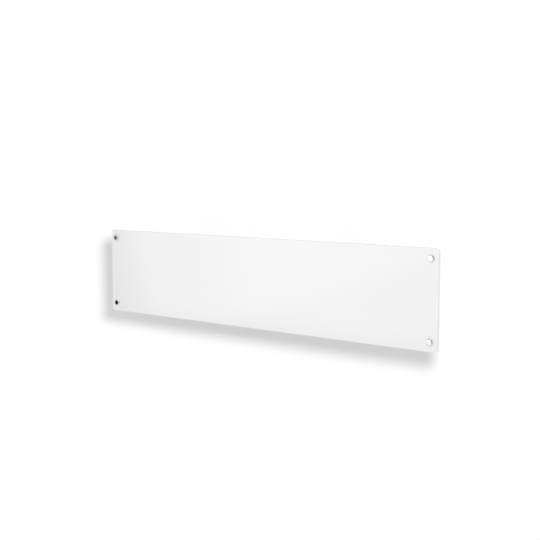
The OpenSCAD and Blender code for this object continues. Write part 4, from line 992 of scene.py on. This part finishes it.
def makeWallLamp(planes):
    lamp = bpy.data.lights.new("wallLamp", "POINT")
    lamp.energy = stage["lampPower"]
    lamp.shadow_soft_size = stage["lampRadius"]
    lamp.use_nodes = True
    tree = lamp.node_tree
    even = addNode(tree, "ShaderNodeLightFalloff", {"Strength": 1.0}).outputs["Constant"]
    tree.links.new(even, tree.nodes["Emission"].inputs["Strength"])
    holder = bpy.data.objects.new("wallLamp", lamp)
    scene.collection.objects.link(holder)
    holder.location = stage["lampPlace"]
    linkLamp(holder, planes, "INCLUDE")


# the world fills evenly. Polished pieces see a bright window to the left of the camera, a dark
# card beyond it and a dimmer room behind the wall
def makeWorld():
    world = bpy.data.worlds.new("studio")
    scene.world = world
    world.use_nodes = True
    tree = world.node_tree
    tree.nodes.clear()
    rays = addNode(tree, "ShaderNodeLightPath")
    towards = addNode(tree, "ShaderNodeTexCoord").outputs["Generated"]
    parts = addNode(tree, "ShaderNodeSeparateXYZ", {0: towards}).outputs
    left = mathNode(tree, "ARCTAN2", mathNode(tree, "MULTIPLY", parts["X"], -1.0),
                    mathNode(tree, "MULTIPLY", parts["Y"], -1.0))
    lean = mathNode(tree, "MULTIPLY", parts["Z"], -math.radians(lights["cardLean"]))
    ramp = addNode(tree, "ShaderNodeValToRGB", {
        "Fac": stretchRange(tree, mathNode(tree, "ADD", left, lean),
                            -math.pi / 2, math.pi / 2, 0.0, 1.0)})
    brightest = max(level for _, level in lights["window"])
    stops = ramp.color_ramp.elements
    while len(stops) < len(lights["window"]):
        stops.new(0.5)
    for stop, (angle, level) in zip(stops, lights["window"]):
        stop.position = (angle + 90) / 180
        stop.color = (level / brightest,) * 3 + (1,)
    room = mathNode(tree, "MULTIPLY", ramp.outputs["Color"], brightest)
    depth = mathNode(tree, "DIVIDE", parts["Z"], mathNode(tree, "MINIMUM", parts["Y"], -0.01))
    above = stretchRange(tree, depth, *lights["sill"], 1.0, 0.0, True)
    room = mathNode(tree, "MULTIPLY", room, above)
    low = stretchRange(tree, parts["Z"], *lights["floorSpan"], 0.0, 1.0, True)
    behind = stretchRange(tree, parts["Y"], *lights["behindSpan"], 0.0, 1.0, True)
    mirrored = mixLevels(tree, low, mixLevels(tree, behind, room, lights["behind"]),
                         lights["floor"])
    glossy = mathNode(tree, "MULTIPLY", rays.outputs["Is Glossy Ray"], mirrored)
    plainRays = mathNode(tree, "SUBTRACT", 1.0, rays.outputs["Is Glossy Ray"])
    seen = mathNode(tree, "MAXIMUM", rays.outputs["Is Camera Ray"],
                    rays.outputs["Is Transmission Ray"])
    plain = mathNode(tree, "MAXIMUM", seen, lights["fill"])
    level = mathNode(tree, "ADD", glossy, mathNode(tree, "MULTIPLY", plainRays, plain))
    sky = addNode(tree, "ShaderNodeBackground", {"Color": (1, 1, 1, 1), "Strength": level})
    out = addNode(tree, "ShaderNodeOutputWorld")
    tree.links.new(sky.outputs[0], out.inputs["Surface"])


dressNodes()
glassPane()
caps = glassCaps()
for name, values in screwSets.items():
    crossScrews(name, **values)
buttonSigns()
displayDigits()
rockerSigns()
print("signs and screws made")

makeCamera()
stagePlanes = makeStage()
# polished caps show the room alone: a sun's round disc would sit on them as a spot
unlit = [*stagePlanes, caps]
makeSun("keyLamp", lights["keyFrom"], lights["keyPower"], lights["keySoftness"], unlit)
makeSun("backLamp", lights["backFrom"], lights["backPower"], lights["backSoftness"], unlit)
makeWallLamp(stagePlanes)
makeWorld()
print("camera, stage and lights made")

scene.view_settings.view_transform = "Standard"
